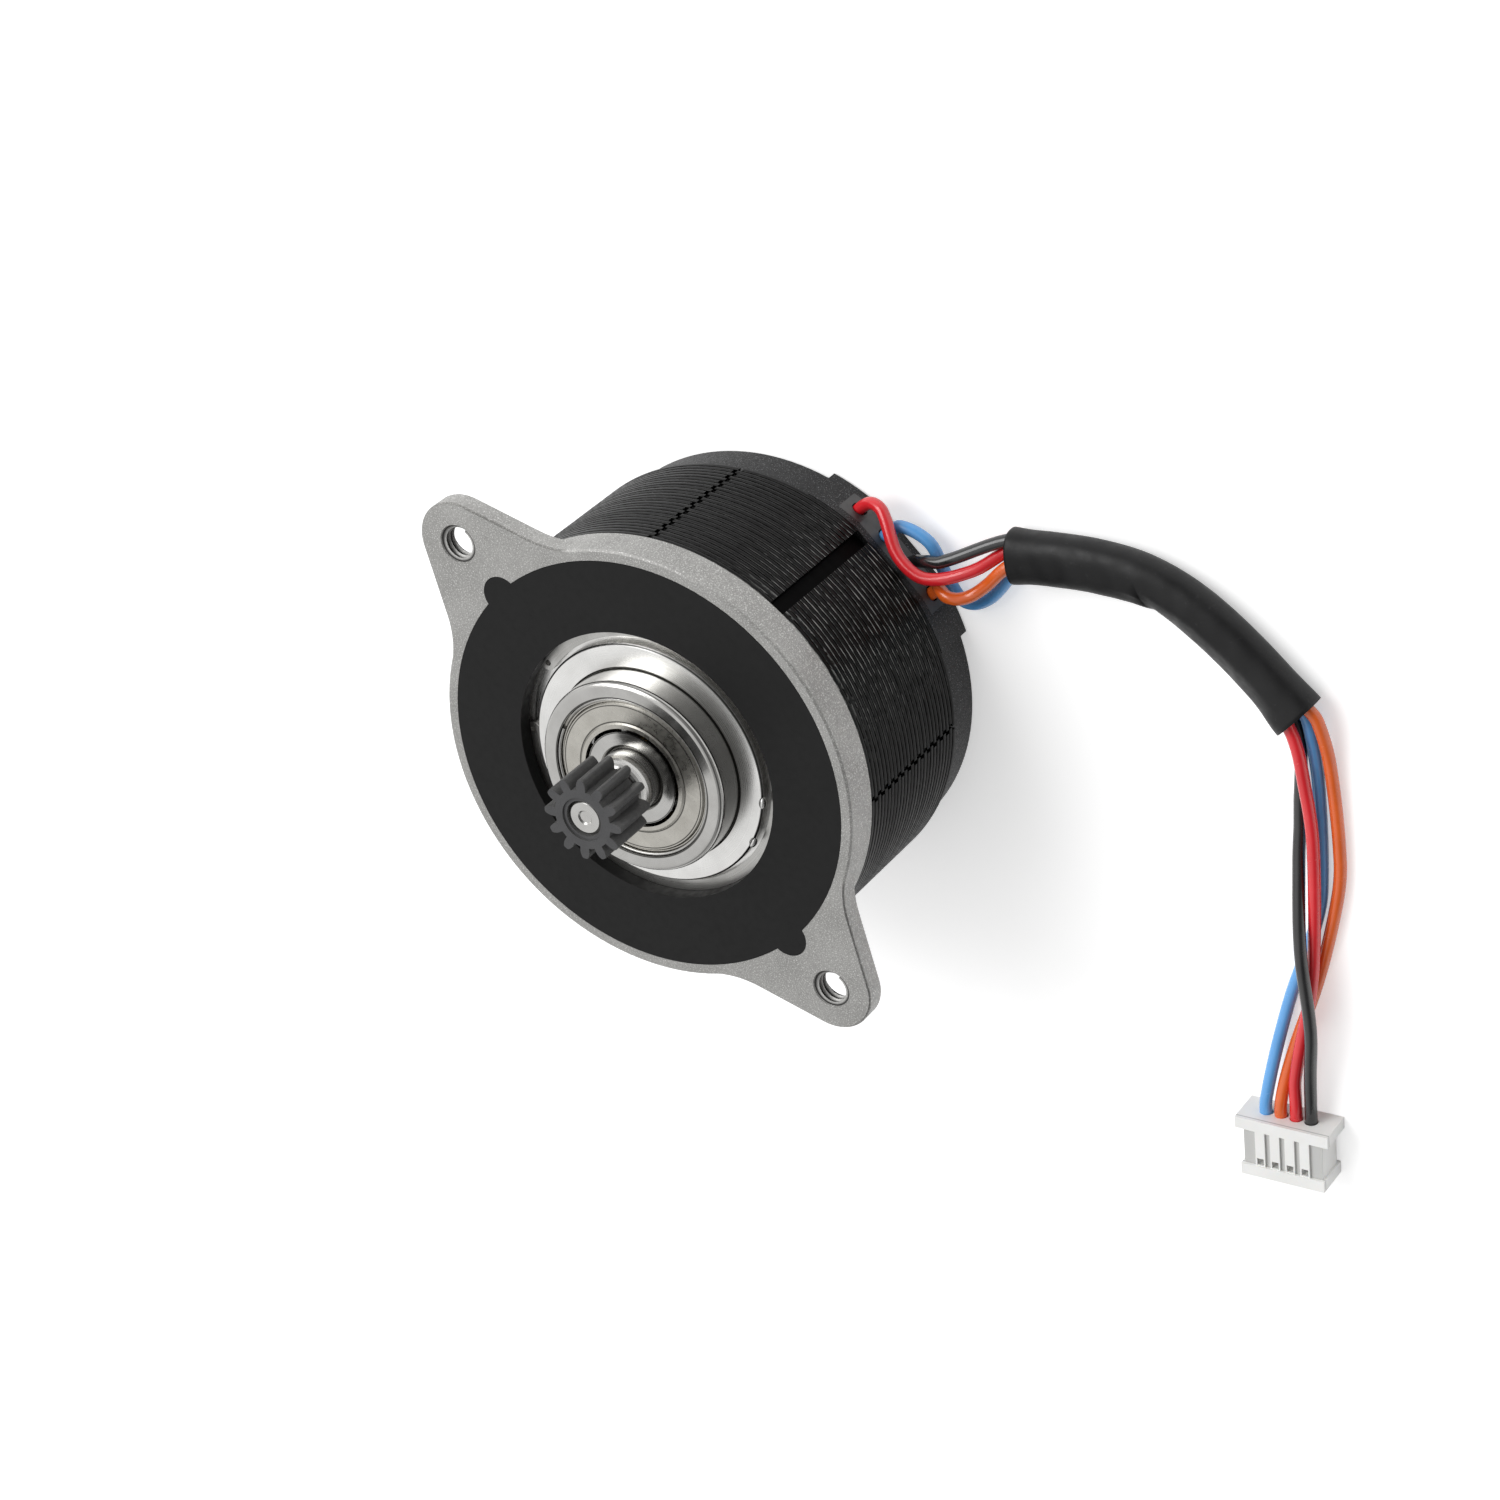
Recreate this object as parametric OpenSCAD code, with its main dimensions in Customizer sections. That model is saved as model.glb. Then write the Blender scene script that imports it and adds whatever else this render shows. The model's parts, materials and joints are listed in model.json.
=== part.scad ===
// Round stepper motor with a pressed pinion, two mounting ears and a four-wire lead.
// Millimetres. The origin is the centre of the flange's front face. +Z leaves along the shaft,
// +X points at one ear and +Y at the wire outlet. The rear cover stands on the floor.

/* [Body] */
// Outside diameter of the flange rim and of the sheet stack
body_diameter = 36; // [35.4:0.1:37]
// Length of the stack of sheets
stack_length = 13; // [10:0.5:20]
// Thickness of one sheet of the stack
sheet_pitch = 0.5; // [0.35:0.05:1]
// Depth of the line between two sheets
sheet_line_depth = 0.3; // [0.1:0.05:0.5]
// How far the rear cover stands in from the stack
cover_step = 0.65; // [0.4:0.05:0.8]
// Length of the rear cover
cover_length = 4; // [3.9:0.1:6]
// Thickness of the cover's rear wall
cover_wall = 0.8; // [0.6:0.1:1]

/* [Flange] */
// Length of the flange rim behind the front face
rim_length = 3; // [2.8:0.1:5]
// Thickness of the two ears
ear_thickness = 1.6; // [1.2:0.1:2.4]
// Distance of the tapped holes beyond the rim
hole_reach = 3.92; // [3.5:0.02:5]
// Radius of an ear's tip about its hole
ear_tip_radius = 3.42; // [2.8:0.02:3.8]
// Angle of an ear's flank to the line of the holes
ear_flank_angle = 30; // [26:1:33]
// Radius of the hollow between ear and rim
ear_blend_radius = 8; // [5:0.5:10]
// Diameter of the tapped holes
tapped_diameter = 3; // [2:0.1:3]

/* [Front disc and hub] */
// Width of the flange's rim outside the black front disc
disc_margin = 0.9; // [0.7:0.05:2]
// Width of the trench between the hub and the disc
trench_width = 1.2; // [1:0.05:1.5]
// Thickness of the disc
disc_thickness = 0.4; // [0.3:0.05:0.6]
// Half width of the disc's tabs
tab_radius = 1.6; // [1:0.1:2]
// How far the tabs reach out of the disc
tab_length = 1.3; // [1:0.05:1.6]
// Wall of the bright hub round the bearing
hub_wall = 2.05; // [1.7:0.05:2.3]
// Depth of the hub's face below the flange face
hub_drop = 0.54; // [0.3:0.02:0.8]

/* [Bearings] */
// Outside diameter of a bearing
bearing_diameter = 16; // [15.6:0.1:16.6]
// Width of a bearing
bearing_width = 5; // [4.8:0.1:5.4]
// Number of balls in a bearing
ball_count = 7; // [5:1:8]
// Diameter of a ball
ball_diameter = 2.8; // [2.4:0.1:2.9]
// How far the front bearing stands out of the flange face
bearing_rise = 1.9; // [1.4:0.1:2]

/* [Shaft and pinion] */
// Diameter of the shaft
shaft_diameter = 5; // [4.6:0.1:5.4]
// Diameter of the turned-down end
shaft_end_diameter = 3; // [2.6:0.1:3.4]
// Height of the end face above the flange face
shaft_reach = 8.3; // [7.6:0.1:8.5]
// Number of teeth of the pinion
tooth_count = 12; // [11:1:15]
// Module of the pinion
tooth_module = 0.5; // [0.48:0.01:0.56]
// Length of the pinion
pinion_length = 4; // [3:0.1:4.4]
// Height of the pinion's front face above the flange face
pinion_reach = 8.6; // [8.4:0.1:9.4]

/* [Rotor and stator] */
// Depth of the slots between the poles
slot_depth = 3.3; // [3:0.1:3.5]
// Air gap between rotor and stator
air_gap = 0.15; // [0.08:0.01:0.2]
// Number of teeth round the rotor
rotor_teeth = 50; // [50:50:100]
// Length of one rotor cup
cup_length = 4; // [3:0.1:4]
// Thickness of the magnet
magnet_length = 1.2; // [0.8:0.1:1.3]

/* [Lead] */
// Diameter of a wire over its insulation
wire_diameter = 1; // [0.8:0.05:1]
// Width of the heat-shrink sleeve
sleeve_width = 4.4; // [4.4:0.1:5]
// Wall of the sleeve
sleeve_wall = 0.25; // [0.15:0.05:0.25]
// Pitch of the ways in the connector
way_pitch = 1.25; // [1.2:0.05:1.5]
// Length of the connector housing
housing_length = 5.2; // [5:0.1:7]
// Thickness of the connector housing
housing_thickness = 3.2; // [3:0.1:3.2]

/* [Hidden] */
$fn = 96;
overrun = 0.1;
fit_gap = 0.02;
running_gap = 0.05;

// Levels along the axis
rim_back = -rim_length;
stack_back = rim_back - stack_length;
base = stack_back - cover_length;
body_radius = body_diameter / 2;
cover_radius = body_radius - cover_step;
bearing_radius = bearing_diameter / 2;
hub_radius = bearing_radius + hub_wall;
disc_radius = body_radius - disc_margin;
opening_radius = hub_radius + trench_width;

// Flange
rim_wall = 1.4;
web_thickness = 1;
boss_wall = 0.95;
collar_wall = 0.65;
collar_depth = 1.2;
groove_depth = 0.5;
groove_width = 0.55;
hub_rim_step = 1.05;
hub_rim_height = 0.8;
ledge_step = 0.15;
mouth_step = 0.1;
mouth_depth = 0.15;
edge_break = 0.15;
blend_steps = 10;
blend_bite = 0.04;
tip_steps = 12;
boss_radius = opening_radius + boss_wall;
hollow_radius = body_radius - rim_wall;
collar_radius = opening_radius + collar_wall;
hub_rim_radius = hub_radius + hub_rim_step;
ledge_radius = hub_radius - ledge_step;
hole_x = body_radius + hole_reach;
hole_radius = tapped_diameter / 2;

// Tie screws
screw_inset = 2.8;
screw_radius = 0.8;
screw_wall = 1;
screw_head_radius = 1.6;
screw_head_height = 0.9;
screw_end_gap = 0.3;
socket_radius = 0.75;
socket_depth = 0.5;
screw_angles = [22.5, 157.5, 202.5, 337.5];
screw_circle = body_radius - screw_inset;
screw_lobe = screw_radius + screw_wall;

// Snap ring
ring_lift = 0.3;
ring_thickness = 0.5;
ring_gap_angle = 35;
ring_gap_at = 208;
ring_lug_radius = 0.62;
ring_lug_hole = 0.25;
ring_inner = hub_radius + ring_lift;
ring_outer = opening_radius + ring_lift;

// Bearing sections
land_width = 1.8;
seat_width = 1.31;
bore_width = 1.36;
shield_gap = 0.29;
shield_thickness = 0.18;
shield_drop = 0.17;
bead_width = 0.45;
bead_height = 0.12;
snap_wire_radius = 0.12;
snap_wire_gap = 14;
snap_wire_at = 200;
ring_round = 0.45;
round_steps = 6;
inner_round = 0.3;
cage_half_width = 0.6;
cage_height = 1.4;
cage_back = 1.9;
hub_lip_height = 0.5;
hub_lip_width = 1.1;
rear_bearing_gap = 0.2;
rear_boss_wall = 1.3;
cover_hole_gap = 0.7;
washer_wave = 0.1;
outer_land = bearing_radius - land_width;
outer_step = bearing_radius - seat_width;
inner_land = shaft_diameter / 2 + bore_width;
pitch_radius = (inner_land + outer_land) / 2;
shield_inner = inner_land + shield_gap;
shield_seat = 2 * shield_drop + shield_thickness;

// Shaft
shoulder_at = 2.4;
dome_height = 1.7;
dome_steps = 10;
shaft_chamfer = 0.25;
centre_share = 0.4;
centre_depth = 0.12;
shaft_back_gap = 0.5;

// Pinion
pressure_angle = 20;
root_share = 1.1;
tip_share = 0.76;
tip_round = 0.07;
tooth_thinning = 0.04;
pinion_turn = 14;
pinion_dish_radius = 1.8;
pinion_dish_depth = 0.15;
flank_shares = [0, 0.3, 0.6, 0.88];

// Rotor and stator teeth
tooth_depth = 0.5;
cup_recess = 0.9;
cup_hub_radius = 4;
magnet_step = 1.45;
rotor_front_gap = 1.4;
pole_count = 8;
pole_teeth = 6;
shoe_height = 1.1;
neck_half_width = 1.5;
yoke_thickness = 2.4;
arc_steps = 6;

// Seams of the stack
seam_angles = [45, 135, 225, 315];
seam_notch_width = 0.35;
seam_shift = 0.15;
seam_depth = 0.45;
datum_angle = 98.8;
datum_width = 1.25;
datum_depth = 0.5;
sheet_line = 0.1;

// Windings and insulators
arm_half_width = 1.7;
arm_height = 0.5;
coil_build = 0.95;
coil_gap = 0.15;
coil_wall_gap = 0.5;
coil_round = 0.6;
insulator_rim_wall = 0.65;
insulator_rim_height = 1.1;

// Wire outlet
outlet_half_width = 7.85;
outlet_flat_depth = 0.38;
cover_side_wall = 1.35;
block_left = -5.7;
block_right = 5.1;
block_depth = 2.4;
block_low_wall = 0.9;
block_height = 2.4;
exit_height = 2;
exit_depth = 1.9;
exit_hole_gap = 0.12;
block_back = body_radius - block_depth;
exit_end = body_radius - exit_depth;

// Connector
plug_x = 52.7;
plug_y = 11;
plug_turn = -42;
way_count = 4;
rim_wide = 7.8;
nose_wide = 7;
housing_wide = 6.6;
rim_deep = 1;
nose_deep = 1;
body_step = 0.3;
rib_half_width = 0.4;
rib_step = 0.1;
cavity_width = 0.85;
entry_gap = 0.05;
cavity_start = 1.5;
window_length = 0.6;
window_start = 3.5;
terminal_length = 3.2;
terminal_wall = 0.15;
stub_length = 1.2;

plug_height = housing_thickness / 2;
wire_radius = wire_diameter / 2;
sleeve_round = 0.85;
sleeve_sides = 16;
sleeve_height = 3.3;
tube_sides = 8;
tube_start = [0.3, -0.2, 1];

// Routes of the four wires, from the lead block to the last point before the connector
red_route = [
    [-4.5, 17.9, -18], [-4.2, 18.9, -17.8], [-3.2, 19.5, -17.3], [0.1, 18.8, -16.2],
    [2.7, 19.6, -16], [4.5, 22.7, -17.1], [5.2, 25.9, -18.9], [6.7, 28, -19], [7.6, 28.5, -19.2],
    [10.5, 30.9, -19], [13.4, 32.9, -18.5], [16.8, 34.4, -18.1], [21.5, 35.3, -17.9],
    [27.7, 35.5, -17.8], [32.7, 32.5, -18.1], [36.4, 29.6, -18.3], [43.1, 23.2, -18.3],
    [45.8, 20.1, -18.3], [50.4, 13.9, -18.5]
];
blue_route = [
    [-1.7, 17.9, -18], [-1.5, 19.3, -18.1], [0.8, 20.2, -18.4], [3.4, 18.9, -19.1],
    [5.7, 18.5, -19.1], [6.6, 19.3, -19], [7, 21, -19], [6.6, 24.9, -18.8], [7.4, 25.7, -18.4],
    [8.1, 26.9, -17.7], [7.9, 28.2, -17.6], [9.9, 31.5, -17.7], [12.6, 34.1, -18.2],
    [16.4, 35.8, -18.6], [21.3, 36.6, -18.9], [27.7, 36.6, -18.8], [28.8, 36.1, -18.9],
    [32.9, 32.9, -19.4], [39.5, 26.9, -19.4], [41.7, 23.9, -19.4], [45.4, 17.4, -19.4]
];
black_route = [
    [1.1, 17.9, -18], [1.7, 19.7, -17.2], [2.5, 21, -17], [4.5, 26.5, -18.3], [6.2, 28.5, -18],
    [9.7, 31.6, -18.7], [12.9, 33.7, -19.1], [16.7, 34.9, -19.1], [21.5, 35.5, -19],
    [27.7, 35.5, -19], [33.9, 29.9, -19.3], [36.5, 27.5, -18.9], [42, 23.4, -17.2],
    [47.6, 19.1, -17.3], [50.9, 15.4, -18.1]
];
orange_route = [
    [3.9, 17.9, -18], [3.6, 18.6, -17.4], [3.7, 18.6, -16.6], [4.5, 18.5, -16.5], [5.3, 19.2, -17],
    [5.9, 21.1, -17.6], [5.9, 25.4, -17.9], [6.5, 26.4, -18.3], [7.4, 27.3, -18.6],
    [8.4, 27.8, -18.7], [10.7, 30.7, -17.9], [13.1, 33.3, -17.6], [16.5, 35.3, -17.6],
    [21.3, 36.5, -17.7], [27.6, 37.6, -18.1], [28.8, 37.4, -18.3], [32.1, 35.1, -19.1],
    [38.5, 29.9, -19.4], [41, 27.1, -19.4], [45.1, 21.1, -19.4], [48.8, 14.6, -19.4]
];
sleeve_route = [
    [5.6, 25.7], [7.7, 28.4], [10.2, 31.2], [13, 33.5], [16.6, 35.1], [21.4, 36], [27.7, 36.4]
];
exit_xs = [red_route[0].x, blue_route[0].x, black_route[0].x, orange_route[0].x];

// Helpers

function polar(r, a) = [r * cos(a), r * sin(a)];

module slab(z0, z1) {
    translate([0, 0, z0])
        linear_extrude(z1 - z0)
            children();
}

module ring_profile(r0, r1, z0, z1) {
    polygon([[r0, z0], [r1, z0], [r1, z1], [r0, z1]]);
}

function unit(v) = v / norm(v);

function way_on(points, i) =
    let(
        last = len(points) - 1,
        before = points[max(i, 1)] - points[max(i, 1) - 1],
        after = points[min(i, last - 1) + 1] - points[min(i, last - 1)]
    )
    unit(unit(before) + unit(after));

function square_to(v, ahead) = unit(v - (v * ahead) * ahead);

// Directions square to the path, each carried on from the one before so that the tube isn't twisted
function sides_of(points) = [
    for (
        i = 0, v = square_to(tube_start, way_on(points, 0));
        i < len(points);
        i = i + 1, v = square_to(v, way_on(points, min(i, len(points) - 1)))
    )
    v
];

module tube(points, radius, sides) {
    rows = len(points);
    across = sides_of(points);
    corners = [
        for (i = [0 : rows - 1])
            for (k = [0 : sides - 1])
                let(turn = 360 * (k + 0.5) / sides, up = cross(across[i], way_on(points, i)))
                points[i] + radius * (cos(turn) * across[i] + sin(turn) * up)
    ];
    walls = [
        for (i = [0 : rows - 2])
            for (k = [0 : sides - 1])
                let(here = i * sides, next = (i + 1) * sides, j = (k + 1) % sides)
                each [[here + k, here + j, next + j], [here + k, next + j, next + k]]
    ];
    first = [for (k = [sides - 1 : -1 : 0]) k];
    final = [for (k = [0 : sides - 1]) (rows - 1) * sides + k];
    polyhedron(points = corners, faces = concat(walls, [first, final]));
}

// Front flange

flank_normal = polar(1, 90 - ear_flank_angle);
flank_offset = hole_x * flank_normal.x + ear_tip_radius;
blend_reach = body_radius + ear_blend_radius - blend_bite;
blend_turn = acos((flank_offset + ear_blend_radius) / blend_reach);
flank_turn = 90 - ear_flank_angle;
blend_at = polar(blend_reach, flank_turn - blend_turn);

// One side of an ear: the tip, the flank and the hollow that runs into the rim
function ear_side(inset) = concat(
    [for (k = [0 : tip_steps])
        [hole_x, 0] + polar(ear_tip_radius - inset, flank_turn * k / tip_steps)],
    [for (k = [0 : blend_steps])
        blend_at + polar(ear_blend_radius + inset, flank_turn + 180 - blend_turn * k / blend_steps)],
    [polar(body_radius - 3 * edge_break, flank_turn - blend_turn)]
);

module ear_outline(inset) {
    side = ear_side(inset);
    last = len(side) - 1;
    for (end = [0, 1])
        mirror([end, 0])
            polygon(concat(side, [for (k = [last : -1 : 1]) [side[k].x, -side[k].y]]));
}

module disc_outline(gap) {
    circle(disc_radius + gap);
    for (side = [-1, 1])
        translate([side * (disc_radius + tab_length - tab_radius), 0])
            circle(tab_radius + gap);
}

hollow_depth = rim_length - disc_thickness - web_thickness;
groove_low = -collar_depth - groove_width;
seat_low = groove_low - hub_rim_height;

module front_flange() {
    color("silver")
        difference() {
            union() {
                rotate_extrude()
                    polygon([
                        [ledge_radius, rim_back],
                        [body_radius, rim_back],
                        [body_radius, -edge_break],
                        [body_radius - edge_break, 0],
                        [ledge_radius, 0]
                    ]);
                slab(-ear_thickness, -edge_break)
                    ear_outline(0);
                slab(-edge_break, 0)
                    ear_outline(edge_break);
            }
            difference() {
                translate([0, 0, rim_back - overrun])
                    rotate_extrude()
                        ring_profile(boss_radius, hollow_radius, 0, hollow_depth + overrun);
                for (a = screw_angles)
                    rotate(a)
                        translate([screw_circle, 0, rim_back - 2 * overrun])
                            cylinder(r = screw_lobe, h = rim_length);
            }
            slab(-disc_thickness, overrun)
                disc_outline(fit_gap);
            translate([0, 0, -collar_depth])
                cylinder(r = collar_radius + fit_gap, h = collar_depth + overrun);
            translate([0, 0, groove_low])
                cylinder(r = opening_radius + groove_depth, h = groove_width);
            translate([0, 0, seat_low])
                cylinder(r = hub_rim_radius, h = hub_rim_height + fit_gap);
            for (side = [-1, 1])
                translate([side * hole_x, 0, 0]) {
                    translate([0, 0, -ear_thickness - overrun])
                        cylinder(r = hole_radius, h = ear_thickness + 2 * overrun);
                    translate([0, 0, -mouth_depth])
                        cylinder(r1 = hole_radius, r2 = hole_radius + mouth_step, h = mouth_depth + fit_gap);
                }
            for (a = screw_angles)
                rotate(a)
                    translate([screw_circle, 0, rim_back - overrun])
                        cylinder(r = screw_radius, h = hollow_depth + overrun);
        }
}

// Front disc with its collar

module front_disc() {
    color("dimgray")
        difference() {
            union() {
                slab(-disc_thickness, 0)
                    disc_outline(0);
                translate([0, 0, -collar_depth])
                    cylinder(r = collar_radius, h = collar_depth - disc_thickness + fit_gap);
            }
            translate([0, 0, -collar_depth - overrun])
                cylinder(r = opening_radius, h = collar_depth + 2 * overrun);
        }
}

// Hub that seats the front bearing

bearing_front = bearing_rise;
bearing_back = bearing_rise - bearing_width;

module bearing_hub() {
    hub_low = bearing_back - hub_lip_height;
    hub_lip_radius = bearing_radius - hub_lip_width;
    color("gainsboro")
        rotate_extrude()
            polygon([
                [hub_lip_radius, hub_low],
                [ledge_radius - fit_gap, hub_low],
                [ledge_radius - fit_gap, seat_low],
                [hub_rim_radius, seat_low],
                [hub_rim_radius, groove_low],
                [hub_radius, groove_low],
                [hub_radius, -hub_drop - edge_break],
                [hub_radius - edge_break, -hub_drop],
                [bearing_radius + edge_break, -hub_drop],
                [bearing_radius, -hub_drop - edge_break],
                [bearing_radius, bearing_back],
                [hub_lip_radius, bearing_back]
            ]);
}

module snap_ring() {
    middle = (ring_inner + ring_outer) / 2;
    color("lightgray")
        slab(groove_low, groove_low + ring_thickness)
            difference() {
                union() {
                    difference() {
                        circle(ring_outer);
                        circle(ring_inner);
                        polygon([
                            [0, 0],
                            polar(2 * ring_outer, ring_gap_at - ring_gap_angle / 2),
                            polar(2 * ring_outer, ring_gap_at + ring_gap_angle / 2)
                        ]);
                    }
                    for (side = [-1, 1])
                        rotate(ring_gap_at + side * ring_gap_angle / 2)
                            translate([middle, 0])
                                circle(ring_lug_radius);
                }
                for (side = [-1, 1])
                    rotate(ring_gap_at + side * ring_gap_angle / 2)
                        translate([middle, 0])
                            circle(ring_lug_hole);
            }
}

// Bearings

function corner_arc(centre, radius, start) =
    [for (k = [0 : round_steps]) centre + polar(radius, start + 90 * k / round_steps)];

module outer_ring_section() {
    half = bearing_width / 2;
    difference() {
        polygon(concat(
            [[outer_land, shield_seat - half], [outer_step, shield_seat - half], [outer_step, -half]],
            corner_arc([bearing_radius - ring_round, ring_round - half], ring_round, -90),
            corner_arc([bearing_radius - ring_round, half - ring_round], ring_round, 0),
            [[outer_step, half], [outer_step, half - shield_seat], [outer_land, half - shield_seat]]
        ));
        translate([pitch_radius, 0])
            circle(ball_diameter / 2 + running_gap);
    }
}

module inner_ring_section() {
    half = bearing_width / 2 - running_gap;
    bore = shaft_diameter / 2;
    difference() {
        polygon([
            [bore, -half + inner_round],
            [bore + inner_round, -half],
            [inner_land, -half],
            [inner_land, half],
            [bore + inner_round, half],
            [bore, half - inner_round]
        ]);
        translate([pitch_radius, 0])
            circle(ball_diameter / 2 + running_gap);
    }
}

module ball_places() {
    for (k = [0 : ball_count - 1])
        rotate(360 * k / ball_count)
            translate([pitch_radius, 0, 0])
                children();
}

module cage() {
    difference() {
        translate([0, 0, -cage_back])
            rotate_extrude()
                ring_profile(pitch_radius - cage_half_width, pitch_radius + cage_half_width, 0, cage_height);
        ball_places()
            sphere(ball_diameter / 2 + running_gap);
    }
}

module shield_plate(level) {
    slab(level, level + shield_thickness)
        difference() {
            circle(outer_step - fit_gap);
            circle(shield_inner);
        }
}

front_middle = bearing_rise - bearing_width / 2;
rear_bearing_low = base + cover_wall + rear_bearing_gap;
rear_middle = rear_bearing_low + bearing_width / 2;
shield_level = bearing_width / 2 - shield_drop - shield_thickness;

module front_bearing_outer_ring() {
    color("silver")
        translate([0, 0, front_middle])
            rotate_extrude()
                outer_ring_section();
}

module front_bearing_shield() {
    color("lightgray")
        translate([0, 0, front_middle])
            rotate_extrude()
                polygon([
                    [shield_inner, shield_level],
                    [outer_step - fit_gap, shield_level - shield_drop],
                    [outer_step - fit_gap, shield_level - shield_drop + shield_thickness],
                    [outer_step - 2 * snap_wire_radius - edge_break, shield_level - shield_drop + shield_thickness],
                    [outer_step - 2 * snap_wire_radius - 2 * edge_break, shield_level + shield_thickness],
                    [shield_inner + bead_width, shield_level + shield_thickness],
                    [shield_inner + bead_width - bead_height, shield_level + shield_thickness + bead_height],
                    [shield_inner, shield_level + shield_thickness + bead_height]
                ]);
}

module shield_snap_wire() {
    level = shield_level - shield_drop + shield_thickness + snap_wire_radius;
    color("gray")
        translate([0, 0, front_middle + level])
            rotate(snap_wire_at)
                rotate_extrude(angle = 360 - snap_wire_gap)
                    translate([outer_step - snap_wire_radius - fit_gap / 2, 0])
                        circle(snap_wire_radius, $fn = 24);
}

module front_bearing_inner_ring() {
    color("silver")
        translate([0, 0, front_middle])
            rotate_extrude()
                inner_ring_section();
}

module front_bearing_balls() {
    color("whitesmoke")
        translate([0, 0, front_middle])
            ball_places()
                sphere(d = ball_diameter);
}

module front_bearing_cage() {
    color("goldenrod")
        translate([0, 0, front_middle])
            cage();
}

module rear_bearing_inner_ring() {
    color("silver")
        translate([0, 0, rear_middle])
            rotate_extrude()
                inner_ring_section();
}

module rear_bearing_balls() {
    color("whitesmoke")
        translate([0, 0, rear_middle])
            ball_places()
                sphere(d = ball_diameter);
}

module rear_bearing_cage() {
    color("goldenrod")
        translate([0, 0, rear_middle])
            cage();
}

module rear_bearing_outer_ring() {
    color("silver")
        translate([0, 0, rear_middle])
            rotate_extrude()
                outer_ring_section();
}

module rear_bearing_shields() {
    color("lightgray")
        translate([0, 0, rear_middle]) {
            shield_plate(bearing_width / 2 - shield_seat);
            shield_plate(shield_seat - shield_thickness - bearing_width / 2);
        }
}

module wave_washer() {
    color("darkgray")
        rotate_extrude()
            polygon([
                [outer_land + edge_break, base + cover_wall],
                [bearing_radius - ring_round, base + cover_wall],
                [bearing_radius - ring_round, base + cover_wall + washer_wave],
                [outer_step + edge_break, rear_bearing_low],
                [outer_step, rear_bearing_low],
                [outer_land + edge_break, rear_bearing_low - washer_wave]
            ]);
}

// Rotor

module motor_shaft() {
    radius = shaft_diameter / 2;
    end_radius = shaft_end_diameter / 2;
    low = base + cover_wall + shaft_back_gap;
    color("silver")
        rotate_extrude()
            polygon(concat(
                [[0, low], [radius - shaft_chamfer, low], [radius, low + shaft_chamfer]],
                [for (k = [0 : dome_steps]) [
                    end_radius + (radius - end_radius) * cos(90 * k / dome_steps),
                    shoulder_at + dome_height * sin(90 * k / dome_steps)
                ]],
                [
                    [end_radius, shaft_reach - shaft_chamfer],
                    [end_radius - shaft_chamfer, shaft_reach],
                    [end_radius * centre_share, shaft_reach],
                    [end_radius * centre_share - centre_depth, shaft_reach - centre_depth],
                    [0, shaft_reach - centre_depth]
                ]
            ));
}

pitch_of_teeth = tooth_module * tooth_count / 2;
base_of_teeth = pitch_of_teeth * cos(pressure_angle);
root_of_teeth = pitch_of_teeth - root_share * tooth_module;
tip_of_teeth = pitch_of_teeth + tip_share * tooth_module;

function involute(r) =
    let(a = acos(min(1, base_of_teeth / max(r, base_of_teeth))))
    tan(a) * 180 / PI - a;

function half_tooth(r) =
    90 / tooth_count - tooth_thinning / pitch_of_teeth * 90 / PI
    + involute(pitch_of_teeth) - involute(r);

function flank_radius(s) = base_of_teeth + (tip_of_teeth - base_of_teeth) * s;

function tooth(k) =
    let(mid = pinion_turn + 360 * k / tooth_count)
    concat(
        [polar(root_of_teeth, mid - 180 / tooth_count + half_tooth(base_of_teeth) / 3)],
        [polar(root_of_teeth, mid - half_tooth(base_of_teeth) - 1)],
        [for (s = flank_shares) polar(flank_radius(s), mid - half_tooth(flank_radius(s)))],
        [polar(tip_of_teeth, mid - half_tooth(tip_of_teeth) + tip_round / tip_of_teeth * 180 / PI)],
        [polar(tip_of_teeth, mid + half_tooth(tip_of_teeth) - tip_round / tip_of_teeth * 180 / PI)],
        [for (i = [len(flank_shares) - 1 : -1 : 0])
            let(s = flank_shares[i])
            polar(flank_radius(s), mid + half_tooth(flank_radius(s)))],
        [polar(root_of_teeth, mid + half_tooth(base_of_teeth) + 1)]
    );

module pinion() {
    color("slategray")
        difference() {
            slab(pinion_reach - pinion_length, pinion_reach)
                difference() {
                    polygon([for (k = [0 : tooth_count - 1]) each tooth(k)]);
                    circle(d = shaft_end_diameter);
                }
            translate([0, 0, pinion_reach - pinion_dish_depth])
                cylinder(r = pinion_dish_radius, h = pinion_dish_depth + overrun);
        }
}

yoke_inner = body_radius - yoke_thickness;
shoe_back = yoke_inner - slot_depth;
stator_bore = shoe_back - shoe_height;
rotor_radius = stator_bore - air_gap;
magnet_radius = rotor_radius - magnet_step;
rotor_front = rim_back - rotor_front_gap;
magnet_front = rotor_front - cup_length;
magnet_back = magnet_front - magnet_length;
rotor_back = magnet_back - cup_length;
tooth_pitch = 360 / rotor_teeth;

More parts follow.
